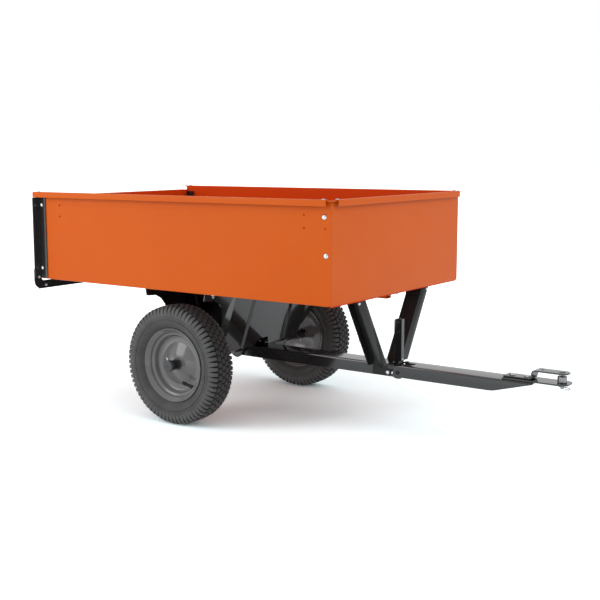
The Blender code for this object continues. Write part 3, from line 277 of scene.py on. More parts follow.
class Coat(Enum):
    """Every finish on the trailer."""

    ORANGE = Paint("orange_powder_coat", (204, 89, 8), (200, 85, 6), 0.44, 0.00005, 0.15)
    # Darker, redder orange for the faces inside the tray: painted shade, since the tray's inside
    # lies in shade.
    INNER = Paint("orange_inner_coat", (202, 63, 1), (197, 60, 1), 0.5, 0.00005, 0.06)
    BLACK = Paint("black_gloss_paint", (33, 33, 34), (37, 37, 38), 0.11, 0.00001, 0.56)
    SATIN = Paint("black_satin_paint", (33, 34, 34), (38, 39, 39), 0.30, 0.00002, 0.17)
    GREY = Paint("grey_wheel_paint", (108, 108, 108), (102, 102, 102), 0.12, 0.00002, 0.42)
    ZINC = Plated("bright_zinc_plate", (200, 201, 202), (180, 182, 185), 0.30)
    DULL = Plated("dull_zinc_plate", (140, 140, 140), (120, 120, 120), 0.38)
    STEEL = Plated("bare_axle_steel", (150, 150, 150), (128, 127, 126), 0.34,
                   lay=(1400.0, 60.0, 1400.0))
    TYRE = Rubber("tyre_rubber", (57, 57, 58), (71, 71, 71), 0.62, 0.00008, 0.3)
    # Lighter rubber for the shoulder fingers: painted light, as if lit from above.
    SHOULDER = Rubber("shoulder_rubber", (70, 70, 71), (84, 84, 84), 0.62, 0.00008, 0.3)
    TREAD = Rubber("tread_rubber", (44, 44, 45), (54, 54, 55), 0.7, 0.00008, 0.3)
    # Near-black rubber for the floor of the tread's grooves: partly dirt, partly painted shade in
    # the grooves.
    GROOVE = Rubber("tyre_groove_rubber", (15, 15, 16), (20, 20, 20), 0.8, 0.00008, 0.3)
    VALVE = Rubber("valve_rubber", (24, 24, 25), (30, 30, 31), 0.55, 0.00003, 0.3)
    PLASTIC = Moulding("black_plastic", (42, 42, 44), (50, 50, 52), 0.46)

    @cache
    def material(self) -> bpy.types.Material:
        """The finish's material, built once."""
        return self.value.material()


class Bench:
    """Modelling by operators: adds, shapes and finishes one piece at a time.

    Angles are in degrees: faces flatter than FLAT merge, blunt edges within CREASE are pressed
    creases, edges sharper than SHARP get rounded, and those blunter than SOFT look smooth.
    """

    FLAT = 0.6
    CREASE: Pair = (4.0, 38.0)
    CREASE_LENGTHS = 6.0
    SHARP = 40.0
    SOFT = 36.0

    @staticmethod
    def clear() -> None:
        """Leave edit mode and deselect everything."""
        if bpy.context.object and bpy.context.object.mode != "OBJECT":
            bpy.ops.object.mode_set(mode="OBJECT")
        bpy.ops.object.select_all(action="DESELECT")

    @classmethod
    def pick(cls, *pieces: Piece) -> None:
        """Select some pieces and nothing else, the first one active."""
        cls.clear()
        for piece in pieces:
            piece.select_set(True)
        bpy.context.view_layer.objects.active = pieces[0]

    @staticmethod
    def edit(select: str = "SELECT") -> None:
        """Open the active object in edit mode with all or nothing of it selected."""
        bpy.ops.object.mode_set(mode="EDIT")
        bpy.ops.mesh.select_all(action=select)

    @staticmethod
    def coat(piece: Piece, coat: Coat) -> None:
        """Give a piece one finish all over."""
        piece.data.materials.clear()
        piece.data.materials.append(coat.material())

    @classmethod
    def settle(cls, name: str, coat: Coat, smooth: float) -> Piece:
        """Close work on the active object: place into the mesh, name, smooth and finish.

        Args:
            name: The piece's name.
            coat: Its finish.
            smooth: Edges blunter than this many degrees are shaded smooth.

        Returns:
            The finished piece.
        """
        piece = bpy.context.object
        if piece.mode != "OBJECT":
            bpy.ops.object.mode_set(mode="OBJECT")
        bpy.ops.object.transform_apply(location=True, rotation=True, scale=True)
        cls.edit()
        bpy.ops.mesh.remove_doubles(threshold=0.000002)
        bpy.ops.mesh.normals_make_consistent(inside=False)
        bpy.ops.object.mode_set(mode="OBJECT")
        bpy.ops.object.shade_smooth_by_angle(angle=math.radians(smooth))
        piece.name = piece.data.name = name
        cls.coat(piece, coat)
        piece.select_set(False)
        return piece

    @staticmethod
    def modify(kind: str, **settings: object) -> None:
        """Add a modifier to the active object and apply it at once.

        Args:
            kind: The modifier's type.
            **settings: Its settings.
        """
        if bpy.context.object.mode != "OBJECT":
            bpy.ops.object.mode_set(mode="OBJECT")
        modifier = bpy.context.object.modifiers.new(kind.lower(), kind)
        for name, value in settings.items():
            setattr(modifier, name, value)
        bpy.ops.object.modifier_apply(modifier=modifier.name)

    @classmethod
    def turned(cls, name: str, coat: Coat, profile: Profile, steps: int,
               centre: Vector = ORIGIN, axis: Axis = Axis.Z, smooth: float = 30.0,
               closed: bool = False) -> Piece:
        """Turn a profile about an axis by extruding a circle ring after ring.

        Args:
            name: The piece's name.
            coat: Its finish.
            profile: Points as distance along the axis and radius.
            steps: Sides of the circle.
            centre: A point on the axis that distances count from.
            axis: The axis.
            smooth: Edges blunter than this many degrees are shaded smooth.
            closed: Join the last ring to the first, as in a ring with a bore.

        Returns:
            The finished piece.
        """
        cls.clear()
        along, radius = profile[0]
        bpy.ops.mesh.primitive_circle_add(vertices=steps, radius=radius, rotation=axis.euler,
                                          location=centre + axis.value * along)
        bpy.ops.object.mode_set(mode="EDIT")
        bpy.ops.mesh.select_mode(type="EDGE")
        bpy.ops.mesh.select_all(action="SELECT")
        for (last_along, last_radius), (next_along, next_radius) in zip(profile, profile[1:]):
            bpy.ops.mesh.extrude_edges_move(
                TRANSFORM_OT_translate={"value": axis.value * (next_along - last_along)})
            factor = next_radius / last_radius
            bpy.ops.transform.resize(value=(factor, factor, factor),
                                     center_override=centre + axis.value * next_along)
        bpy.ops.mesh.select_all(action="DESELECT")
        bpy.ops.mesh.select_non_manifold()
        if closed:
            bpy.ops.mesh.bridge_edge_loops()
        else:
            bpy.ops.mesh.edge_face_add()
            bpy.ops.mesh.select_all(action="SELECT")
            bpy.ops.mesh.fill_holes(sides=0)
        return cls.settle(name, coat, smooth)

    @staticmethod
    def ring(count: int, centre: Vector) -> None:
        """Copy all of the edited mesh round a wheel's line.

        Args:
            count: How many of it there are in the end.
            centre: The wheel's middle.
        """
        bpy.ops.mesh.select_all(action="SELECT")
        bpy.ops.mesh.spin(steps=count - 1, dupli=True, angle=math.tau * (count - 1) / count,
                          center=centre, axis=OUT)

    @staticmethod
    def copied(piece: Piece, name: str, move: Matrix = Matrix.Identity(4)) -> Piece:
        """Copy a piece with its own mesh, and turn a mirrored one right side out.

        Args:
            piece: The piece.
            name: The copy's name.
            move: Where the copy goes.

        Returns:
            The copy.
        """
        copy = bpy.data.objects.new(name, piece.data.copy())
        copy.data.name = name
        copy.data.transform(move)
        if move.determinant() < 0.0:
            copy.data.flip_normals()
        bpy.context.collection.objects.link(copy)
        return copy

    @classmethod
    def mirrored(cls, piece: Piece) -> Piece:
        """Duplicate a piece, with what it carries, to the trailer's other side.

        Args:
            piece: The left one.

        Returns:
            The right one.
        """
        cls.pick(piece)
        bpy.ops.object.duplicate()
        twin = bpy.context.object
        twin.data.transform(MIRROR)
        twin.data.flip_normals()
        twin.select_set(False)
        return twin

    @classmethod
    def join(cls, parts: Sequence[Piece]) -> Piece:
        """Join finished parts.

        Args:
            parts: The parts.

        Returns:
            The first one, which holds them all.
        """
        cls.pick(*parts)
        bpy.ops.object.join()
        parts[0].select_set(False)
        return parts[0]

    @classmethod
    def placed(cls, master: Piece, moves: Iterable[Matrix], name: str) -> Piece:
        """Copy a fastener to several places, join the copies and remove the master.

        Args:
            master: The fastener, modelled at the origin along Z.
            moves: Where each copy goes.
            name: The joined piece's name.

        Returns:
            The joined piece.
        """
        joined = cls.join([cls.copied(master, name, move) for move in moves])
        bpy.data.objects.remove(master)
        return joined

    @classmethod
    def refined(cls, node: str, coat: Coat, width: float, segments: int = 2,
                crease: float = 0.0, shape: Callable[[], None] | None = None) -> Piece:
        """Copy a CAD node with its flat faces merged and its sharp edges rounded.

        Args:
            node: The node's name.
            coat: The copy's finish.
            width: Width of the rounded edges.
            segments: Facets across each rounded edge.
            crease: Width of the arc along blunt pressed creases, or 0 to leave them.
            shape: Further shaping in edit mode before the edges are rounded.

        Returns:
            The copy, which stands for the node.
        """
        piece = cls.copied(bpy.data.objects[node], f"{node}_formed")
        cls.coat(piece, coat)
        cls.pick(piece)
        cls.edit()
        bpy.ops.mesh.remove_doubles(threshold=0.00001)
        bpy.ops.mesh.dissolve_limited(angle_limit=math.radians(cls.FLAT))
        if shape is not None:
            shape()
        if crease > 0.0:
            low, high = map(math.radians, cls.CREASE)
            cls.select_edges(lambda edge: low < edge.calc_face_angle(0.0) < high
                             and edge.calc_length() > cls.CREASE_LENGTHS * crease)
            bpy.ops.mesh.bevel(offset=crease, segments=4, affect="EDGES")
        bpy.ops.mesh.select_all(action="SELECT")
        bpy.ops.mesh.quads_convert_to_tris(quad_method="BEAUTY", ngon_method="BEAUTY")
        bpy.ops.mesh.normals_make_consistent(inside=False)
        cls.modify("BEVEL", width=width, segments=segments, limit_method="ANGLE",
                   angle_limit=math.radians(cls.SHARP), miter_outer="MITER_ARC")
        bpy.ops.object.shade_smooth_by_angle(angle=math.radians(cls.SOFT))
        cls.modify("WEIGHTED_NORMAL", keep_sharp=True)
        piece.select_set(False)
        return piece

    @staticmethod
    def select_edges(test: Callable[[bmesh.types.BMEdge], bool]) -> None:
        """Select some edges of the edited mesh.

        Args:
            test: Tells whether an edge is one of them.
        """
        bpy.ops.mesh.select_mode(type="EDGE")
        bpy.ops.mesh.select_all(action="DESELECT")
        piece = bpy.context.edit_object
        mesh = bmesh.from_edit_mesh(piece.data)
        for edge in mesh.edges:
            edge.select = test(edge)
        mesh.select_flush_mode()
        bmesh.update_edit_mesh(piece.data)

    @classmethod
    def wire(cls, route: Sequence[Vector], radius: float, name: str, coat: Coat) -> Piece:
        """Draw a round wire along a smooth route and turn it into a mesh.

        Args:
            route: Points that the wire follows.
            radius: The wire's radius.
            name: The piece's name.
            coat: Its finish.

        Returns:
            The wire.
        """
        curve = bpy.data.curves.new(name, "CURVE")
        curve.dimensions = "3D"
        curve.bevel_depth = radius
        curve.bevel_resolution = 4
        curve.resolution_u = 6
        curve.use_fill_caps = True
        spline = curve.splines.new("NURBS")
        spline.points.add(len(route) - 1)
        spline.order_u = 4
        spline.use_endpoint_u = True
        for target, point in zip(spline.points, route):
            target.co = (*point, 1.0)
        piece = bpy.data.objects.new(name, curve)
        bpy.context.collection.objects.link(piece)
        cls.pick(piece)
        bpy.ops.object.convert(target="MESH")
        return cls.settle(name, coat, 50.0)

    @classmethod
    def trim(cls, piece: Piece, low: Vector, high: Vector) -> None:
        """Cut a box out of a piece.

        Args:
            piece: The piece.
            low: The box's lowest corner.
            high: Its highest corner.
        """
        cls.clear()
        bpy.ops.mesh.primitive_cube_add(size=1.0, location=(low + high) / 2)
        cutter = bpy.context.object
        cutter.scale = high - low
        bpy.ops.object.transform_apply(location=True, rotation=True, scale=True)
        cls.pick(piece)
        cls.modify("BOOLEAN", object=cutter, operation="DIFFERENCE", solver="EXACT")
        bpy.data.objects.remove(cutter)
        piece.select_set(False)


@dataclass(frozen=True)
class Camera:
    """The photograph's point of view, fitted to the trailer's corners."""

    place: Point = (1.9153, -2.7890, 0.8646)
    right: Point = (0.80010, 0.59990, -0.00484)
    ahead: Point = (-0.59450, 0.79290, -0.13400)
    focal_pixels: float = 1032.23
    centre_pixels: Pair = (267.63, 292.42)
    sensor: float = 36.0
    sight: float = 60.0

    def build(self) -> None:
        """Add the camera and make it the scene's."""
        bpy.ops.object.camera_add(location=self.place)
        camera = bpy.context.object
        camera.name = "photo_camera"
        back = -Vector(self.ahead).normalized()
        right = Vector(self.right)
        right = (right - back * right.dot(back)).normalized()
        turn = Matrix((right, back.cross(right), back)).transposed()
        camera.rotation_euler = turn.to_euler()
        lens = camera.data
        lens.sensor_width = self.sensor
        lens.lens = self.focal_pixels / PHOTO_PIXELS * lens.sensor_width
        half = PHOTO_PIXELS / 2.0
        lens.shift_x = (half - self.centre_pixels[0]) / PHOTO_PIXELS
        lens.shift_y = (self.centre_pixels[1] - half) / PHOTO_PIXELS
        lens.clip_end = self.sight
        bpy.context.scene.camera = camera
        Bench.clear()


@dataclass(frozen=True)
class Lamp:
    """A large soft lamp that faces the trailer, and whether gloss reflects it."""

    name: str
    place: Point
    wide: float
    high: float
    power: float
    shows: bool = True
    target: Point = (0.0, 0.0, 0.4)

    def build(self) -> None:
        """Add the lamp and turn it to the trailer's middle."""
        bpy.ops.object.light_add(type="AREA", location=self.place)
        lamp = bpy.context.object
        lamp.name = self.name
        lamp.data.shape = "RECTANGLE"
        lamp.data.size = self.wide
        lamp.data.size_y = self.high
        lamp.data.energy = self.power
        aim = Vector(self.target) - Vector(self.place)
        lamp.rotation_euler = aim.to_track_quat("-Z", "Y").to_euler()
        lamp.visible_glossy = self.shows


@dataclass(frozen=True)
class Studio:
    """White studio: a pale floor that shows white, a soft sky and two large lamps."""

    floor_size: float = 60.0
    floor_level: float = -0.0005
    floor_bounce: float = 0.84
    # Seen floor tone near the trailer: painted shade that deepens its shadow and cools the orange
    # bounce in it.
    floor_shade_tone: Colour = (219, 230, 233)
    floor_far: Colour = (255, 255, 255)
    floor_fade: Pair = (1.3, 3.4)
    sky: float = 0.76
    lamps: tuple[Lamp, ...] = (
        Lamp("left_lamp", (-2.4, -3.4, 2.1), 1.9, 3.0, 72.0),
        Lamp("right_lamp", (4.2, 0.2, 2.6), 3.0, 3.0, 54.0, False))

    def build(self) -> None:
        """Add the floor, the world and the lamps."""
        bpy.context.scene.view_settings.view_transform = "Standard"
        self._world()
        self._floor()
        for lamp in self.lamps:
            lamp.build()
        Bench.clear()

    def _world(self) -> None:
        """Light the scene softly; the camera and reflections see plain white."""
        world = bpy.data.worlds.new("studio_world")
        bpy.context.scene.world = world
        world.use_nodes = True
        nodes, links = world.node_tree.nodes, world.node_tree.links
        soft, white = nodes["Background"], nodes.new("ShaderNodeBackground")
        for background, strength in ((soft, self.sky), (white, 1.0)):
            background.inputs["Color"].default_value = (1.0, 1.0, 1.0, 1.0)
            background.inputs["Strength"].default_value = strength
        self._seen_switch(nodes, links, soft.outputs[0], white.outputs[0],
                          nodes["World Output"].inputs["Surface"])

    @staticmethod
    def _seen_switch(nodes: bpy.types.Nodes, links: bpy.types.NodeLinks, lit: Socket,
                     seen: Socket, target: Socket) -> None:
        """Show one shader to light, and another to the camera, gloss and glass.

        Args:
            nodes: The tree's nodes.
            links: Its links.
            lit: What light meets.
            seen: What is seen.
            target: The output's socket.
        """
        path = nodes.new("ShaderNodeLightPath")
        total = path.outputs["Is Camera Ray"]
        for name in ("Is Glossy Ray", "Is Transmission Ray"):
            add = nodes.new("ShaderNodeMath")
            add.operation = "MAXIMUM"
            links.new(total, add.inputs[0])
            links.new(path.outputs[name], add.inputs[1])
            total = add.outputs[0]
        mix = nodes.new("ShaderNodeMixShader")
        for socket, source in zip(mix.inputs, (total, lit, seen)):
            links.new(source, socket)
        links.new(mix.outputs[0], target)

    def _floor(self) -> None:
        """Add the floor: matt, and two pale coats where it is seen, painted darker and bluer near
        the trailer to deepen its shadow and take the orange bounce out of it, whiter farther out.
        """
        Bench.clear()
        bpy.ops.mesh.primitive_plane_add(size=self.floor_size,
                                         location=(0.0, 0.0, self.floor_level))
        floor = bpy.context.object
        floor.name = "studio_floor"
        shader = Shader("studio_floor")
        shader.set(Base_Color=(self.floor_bounce,) * 3 + (1.0,), Roughness=0.9,
                   Specular_IOR_Level=0.0)
        nodes, links = shader.nodes, shader.links
        reach = shader.add("ShaderNodeVectorMath", {"operation": "LENGTH"}, Vector=shader.place)
        far = shader.spread(reach.outputs["Value"], 0.0, 1.0, *self.floor_fade)
        tone = shader.blend(far, self.floor_shade_tone, self.floor_far)
        coats = nodes.new("ShaderNodeAddShader")
        for socket in coats.inputs:
            coat = shader.add("ShaderNodeBsdfDiffuse", Color=tone)
            links.new(coat.outputs[0], socket)
        self._seen_switch(nodes, links, shader.surface.outputs[0], coats.outputs[0],
                          nodes["Material Output"].inputs["Surface"])
        floor.data.materials.append(shader.material)


def bed_point(x: float, y: float, z: float) -> Vector:
    """A place whose x counts from the bed's rear edge."""
    return Vector((x + BED_REAR_X, y, z))


def facing(place: Vector, way: Point | Vector, turn: float = 0.0) -> Matrix:
    """Move that takes a fastener from the origin along Z to a place and a way it points.

    Args:
        place: Where the fastener's seat goes.
        way: The way its head points.
        turn: Degrees that it is turned about itself.

    Returns:
        The move.
    """
    swing = Vector(UP).rotation_difference(Vector(way)).to_matrix().to_4x4()
    return Matrix.Translation(place) @ swing @ Matrix.Rotation(math.radians(turn), 4, "Z")


def both(*stems: str) -> list[str]:
    """The left and right nodes' names of some stems."""
    return [f"{stem}_{side.word}" for stem in stems for side in Side]


def both_ends(half: Profile) -> list[Pair]:
    """A profile's outer half with its mirror image before it."""
    return [(-along, radius) for along, radius in reversed(half)] + list(half)


def scaled(shares: Profile, radius: float, start: float = 0.0) -> list[Pair]:
    """A profile from heights above a start and shares of a radius."""
    return [(start + along, radius * share) for along, share in shares]


@dataclass(frozen=True)
class Seat:
    """Where a fastener sits on the left side, and the way it points."""

    place: Point
    way: Point
    turn: float = 0.0

    def move(self, side: Side) -> Matrix:
        """The move from the origin to the seat on one side."""
        (x, y, z), (along, out, up), sign = self.place, self.way, side.value
        return facing(bed_point(x, sign * y, z), (along, sign * out, up), sign * self.turn)


def seats(way: Point, *places: Point, turn: float = 0.0) -> list[Seat]:
    """Seats at some places that all point one way."""
    return [Seat(place, way, turn) for place in places]


class Part:
    """What every sub-assembly shares: how its pieces are formed, kept and reported."""

    @staticmethod
    def keep(piece: Piece, body: str, nodes: Sequence[str] = (),
             slot: str | None = None) -> None:
        """Make a piece ride on a body and stand for the nodes that it replaces.

        Args:
            piece: The finished piece.
            body: The body that it moves with.
            nodes: CAD nodes that it stands for, which get its finish.
            slot: Not used.
        """
        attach(piece, body)
        if nodes:
            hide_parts(*nodes)
        for node in nodes:
            solid = bpy.data.objects[node].data
            solid.materials.clear()
            solid.materials.append(piece.data.materials[0])
        LOG.info("%s rides on %s, %d faces", piece.name, body, len(piece.data.polygons))

    @classmethod
    def form(cls, body: str, coat: Coat, width: float, nodes: Iterable[str],
             **how: float) -> None:
        """Round the edges of CAD nodes and keep each copy in its node's place.

        Args:
            body: The body that they move with.
            coat: Their finish.
            width: Width of the rounded edges.
            nodes: The nodes' names.
            **how: Further sizes, as in Bench.refined.
        """
        for node in nodes:
            cls.keep(Bench.refined(node, coat, width, **how), body, (node,))

    @classmethod
    def pair(cls, piece: Piece, stem: str, body: str, *nodes: str,
             slot: str | None = None) -> None:
        """Keep a piece on the left and its mirror image on the right.

        Args:
            piece: The left one.
            stem: The start of both names.
            body: The body, with {side} for the side's word.
            *nodes: The nodes that it stands for, named in the same way.
            slot: A material slot's name for where it stands for no node, passed on to keep.
        """
        for side in Side:
            half = piece if side is Side.LEFT else Bench.mirrored(piece)
            half.name = half.data.name = f"{stem}_{side.word}_made"
            cls.keep(half, body.format(side=side.word),
                     [node.format(side=side.word) for node in nodes], slot)

    @classmethod
    def fit(cls, name: str, body: str, master: Piece, seats: Iterable[Seat],
            sides: Iterable[Side] = Side, slot: str = "zinc_plate") -> None:
        """Set copies of a fastener on their seats and keep them as one piece.

        Args:
            name: The piece's name.
            body: The body that it moves with.
            master: The fastener at the origin.
            seats: Its seats on the left.
            sides: The sides that get them.
            slot: A material slot's name, passed on to keep.
        """
        moves = [seat.move(side) for side in sides for seat in seats]
        cls.keep(Bench.placed(master, moves, name), body, slot=slot)

    @classmethod
    def panel(cls, body: str, node: str, width: float, way: Point,
              shape: Callable[[], None] | None = None) -> None:
        """Form an orange panel whose faces into the tray get a darker, redder and more matt copy
        of the orange: painted shade.

        Args:
            body: The body that it moves with.
            node: The panel's CAD node.
            width: Width of the rounded edges.
            way: The way that its inner faces look.
            shape: Further shaping, as in Bench.refined.
        """
        panel = Bench.refined(node, Coat.ORANGE, width, shape=shape)
        # The faces that look into the tray take the orange with painted shade.
        panel.data.materials.append(Coat.INNER.material())
        for face in panel.data.polygons:
            if face.normal.dot(Vector(way)) > TRAY_COSINE:
                face.material_index = 1
        cls.keep(panel, body, (node,))


@dataclass(frozen=True)
class Tyre(Part):
    """The tyres: a turned carcass, shoulder fingers and rows of tread blocks.

    A finger's stations give distance out, radius, width and lean in degrees. A row gives
    distance out, radius of the top, lean in degrees and turn as a share of the pitch.
    """

    steps: int = 112
    lugs: int = 70
    block_count: int = 58
    section: Profile = (
        (0.0192, 0.1050), (0.0322, 0.1172), (0.0326, 0.1196), (0.0334, 0.1216), (0.0362, 0.1246),
        (0.0402, 0.1290), (0.0438, 0.1340), (0.0465, 0.1394), (0.0481, 0.1444), (0.0486, 0.1472),
        (0.0472, 0.1479), (0.0473, 0.1491), (0.0488, 0.1498), (0.0494, 0.1546), (0.0489, 0.1606),
        (0.0454, 0.1636), (0.0438, 0.1720), (0.0404, 0.1796), (0.0350, 0.1844), (0.0290, 0.1866),
        (0.0150, 0.1876), (0.0, 0.1878))
    stations: tuple[Station, ...] = (
        (0.0489, 0.1588, 0.0144, 0.0), (0.0490, 0.1664, 0.0143, 4.0),
        (0.0480, 0.1742, 0.0128, 10.0), (0.0453, 0.1822, 0.0111, 30.0),
        (0.0406, 0.1878, 0.0102, 55.0), (0.0345, 0.1903, 0.0095, 74.0))
    finger_depth: float = 0.0064
    finger_edge: float = 0.0006
    # Radius beyond which the carcass is near-black: partly dirt, partly painted shade in the
    # grooves.
    groove_from: float = 0.1630
    rows: tuple[Station, ...] = ((0.0077, 0.1923, 2.0, 0.0), (0.0229, 0.1913, 8.0, 0.5))
    block: Point = (0.0085, 0.0092, 0.0056)
    block_layers: tuple[Pair, ...] = ((0.85, 0.93), (0.15, 0.80))

    def build(self) -> None:
        """Model the left tyre and mirror it to the right."""
        section = [(-out, radius) for out, radius in self.section] + list(self.section[-2::-1])
        carcass = Bench.turned("carcass", Coat.TYRE, section, self.steps, WHEEL, Axis.Y, 28.0,
                               closed=True)
        # The groove floors take the near-black rubber: partly dirt, partly painted shade.
        carcass.data.materials.append(Coat.GROOVE.material())
        for face in carcass.data.polygons:
            reach = face.center - WHEEL
            face.material_index = int(math.hypot(reach.x, reach.z) > self.groove_from)
        outer = [self._fingers(), *(self._blocks(*row) for row in self.rows)]
        inner = [Bench.copied(part, part.name,
                              Matrix.Translation(WHEEL) @ MIRROR
                              @ Matrix.Rotation(math.pi / count, 4, "Y")
                              @ Matrix.Translation(-WHEEL))
                 for part, count in zip(outer, (self.lugs, self.block_count, self.block_count))]
        tyre = Bench.join([carcass, *outer, *inner])
        self.pair(tyre, "tyre", WHEEL_BODY, "tyre_{side}")

    def _fingers(self) -> Piece:
        """Model one shoulder finger at the wheel's top and copy it round the tyre."""
        Bench.clear()
        out, radius, width, _ = self.stations[0]
        place = WHEEL + Vector((0.0, out - self.finger_depth / 2, radius))
        bpy.ops.mesh.primitive_plane_add(size=1.0, location=place)
        Bench.edit()
        bpy.ops.transform.resize(value=(width, self.finger_depth, 1.0), center_override=place)
        for last, here in zip(self.stations, self.stations[1:]):
            start, goal = self._middle(last), self._middle(here)
            bpy.ops.mesh.extrude_region_move(TRANSFORM_OT_translate={"value": goal - start})
            bpy.ops.transform.rotate(value=math.radians(last[3] - here[3]), orient_axis="X",
                                     center_override=goal)
            bpy.ops.transform.resize(value=(here[2] / last[2], 1.0, 1.0), center_override=goal)
        Bench.modify("BEVEL", width=self.finger_edge, segments=1, limit_method="ANGLE",
                     angle_limit=math.radians(50.0))
        Bench.edit()
        Bench.ring(self.lugs, WHEEL)
        # The fingers take the lighter rubber: painted light.
        return Bench.settle("fingers", Coat.SHOULDER, 32.0)

    def _middle(self, station: Station) -> Vector:
        """Find the middle of a finger's section, half its depth under the outer face.

        Args:
            station: The section.

        Returns:
            Its middle.
        """
        out, radius, _, lean = station
        angle = math.radians(lean)
        inward = Vector((0.0, -math.cos(angle), -math.sin(angle)))
        return WHEEL + Vector((0.0, out, radius)) + inward * (self.finger_depth / 2)

    def _blocks(self, out: float, top: float, tilt: float, phase: float) -> Piece:
        """Model one six-sided tread block and copy it round the tyre.

        Args:
            out: The row's distance from the wheel's middle.
            top: Radius of the block's top.
            tilt: Degrees that the top leans outwards.
            phase: Share of a pitch that the row is turned by.

        Returns:
            The row.
        """
        long, wide, high = self.block
        Bench.clear()
        place = WHEEL + Vector((0.0, out, top - high))
        bpy.ops.mesh.primitive_circle_add(vertices=6, radius=1.0, fill_type="NGON", location=place)
        Bench.edit()
        bpy.ops.transform.resize(value=(long / math.cos(HEX_ANGLE), wide, 1.0),
                                 center_override=place)
        for rise, ratio in self.block_layers:
            step = Vector((0.0, 0.0, rise * high))
            bpy.ops.mesh.extrude_region_move(TRANSFORM_OT_translate={"value": step})
            place = place + step
            bpy.ops.transform.resize(value=(ratio, ratio, 1.0), center_override=place)
        bpy.ops.mesh.select_all(action="SELECT")
        bpy.ops.transform.rotate(value=math.radians(tilt), orient_axis="X", center_override=place)
        bpy.ops.transform.rotate(value=phase * math.tau / self.block_count, orient_axis="Y",
                                 center_override=WHEEL)
        Bench.ring(self.block_count, WHEEL)
        return Bench.settle("blocks", Coat.TREAD, 30.0)


@dataclass(frozen=True)
class Rim(Part):
    """The pressed rims, whose sections give distance out of the wheel's middle and radius."""

    steps: int = 96
    face: Profile = (
        (0.0352, 0.1190), (0.0366, 0.1189), (0.0373, 0.1180), (0.0371, 0.1168), (0.0359, 0.1157),
        (0.0332, 0.1132), (0.0300, 0.1100), (0.0276, 0.1074), (0.0258, 0.1058), (0.0236, 0.1048),
        (0.0208, 0.1042), (0.0192, 0.1034), (0.0182, 0.1020), (0.0174, 0.0998), (0.0166, 0.0976),
        (0.0156, 0.0960), (0.0140, 0.0950), (0.0110, 0.0936), (0.0078, 0.0924), (0.0052, 0.0918),
        (0.0032, 0.0910), (0.0014, 0.0894), (0.0000, 0.0872), (-0.0008, 0.0846),
        (-0.0010, 0.0815), (-0.0010, 0.0692), (-0.0007, 0.0682), (0.0000, 0.0673),
        (0.0100, 0.0212), (0.0105, 0.0168))
    back: Profile = (
        (0.0040, 0.0168), (0.0037, 0.0210), (0.0010, 0.0400), (-0.0010, 0.0500),
        (-0.0034, 0.0608), (-0.0040, 0.0640), (-0.0040, 0.0905), (-0.0080, 0.0918),
        (-0.0100, 0.0930), (-0.0120, 0.0948), (-0.0160, 0.0982), (-0.0190, 0.1010),
        (-0.0205, 0.1020), (-0.0222, 0.1026), (-0.0240, 0.1042), (-0.0285, 0.1098),
        (-0.0330, 0.1136), (-0.0359, 0.1157), (-0.0371, 0.1168), (-0.0373, 0.1180),
        (-0.0366, 0.1189), (-0.0352, 0.1190))
    well: Profile = (
        (0.0060, 0.0936), (0.0095, 0.0948), (0.0185, 0.1040), (0.0215, 0.1048),
        (0.0300, 0.1135), (0.0335, 0.1168))

    def build(self) -> None:
        """Turn the left rim and mirror it to the right."""
        section = [*self.face, *self.back, *both_ends(self.well)]
        rim = Bench.turned("rim", Coat.GREY, section, self.steps, WHEEL, Axis.Y, closed=True)
        self.pair(rim, "rim", WHEEL_BODY, "rim_{side}")


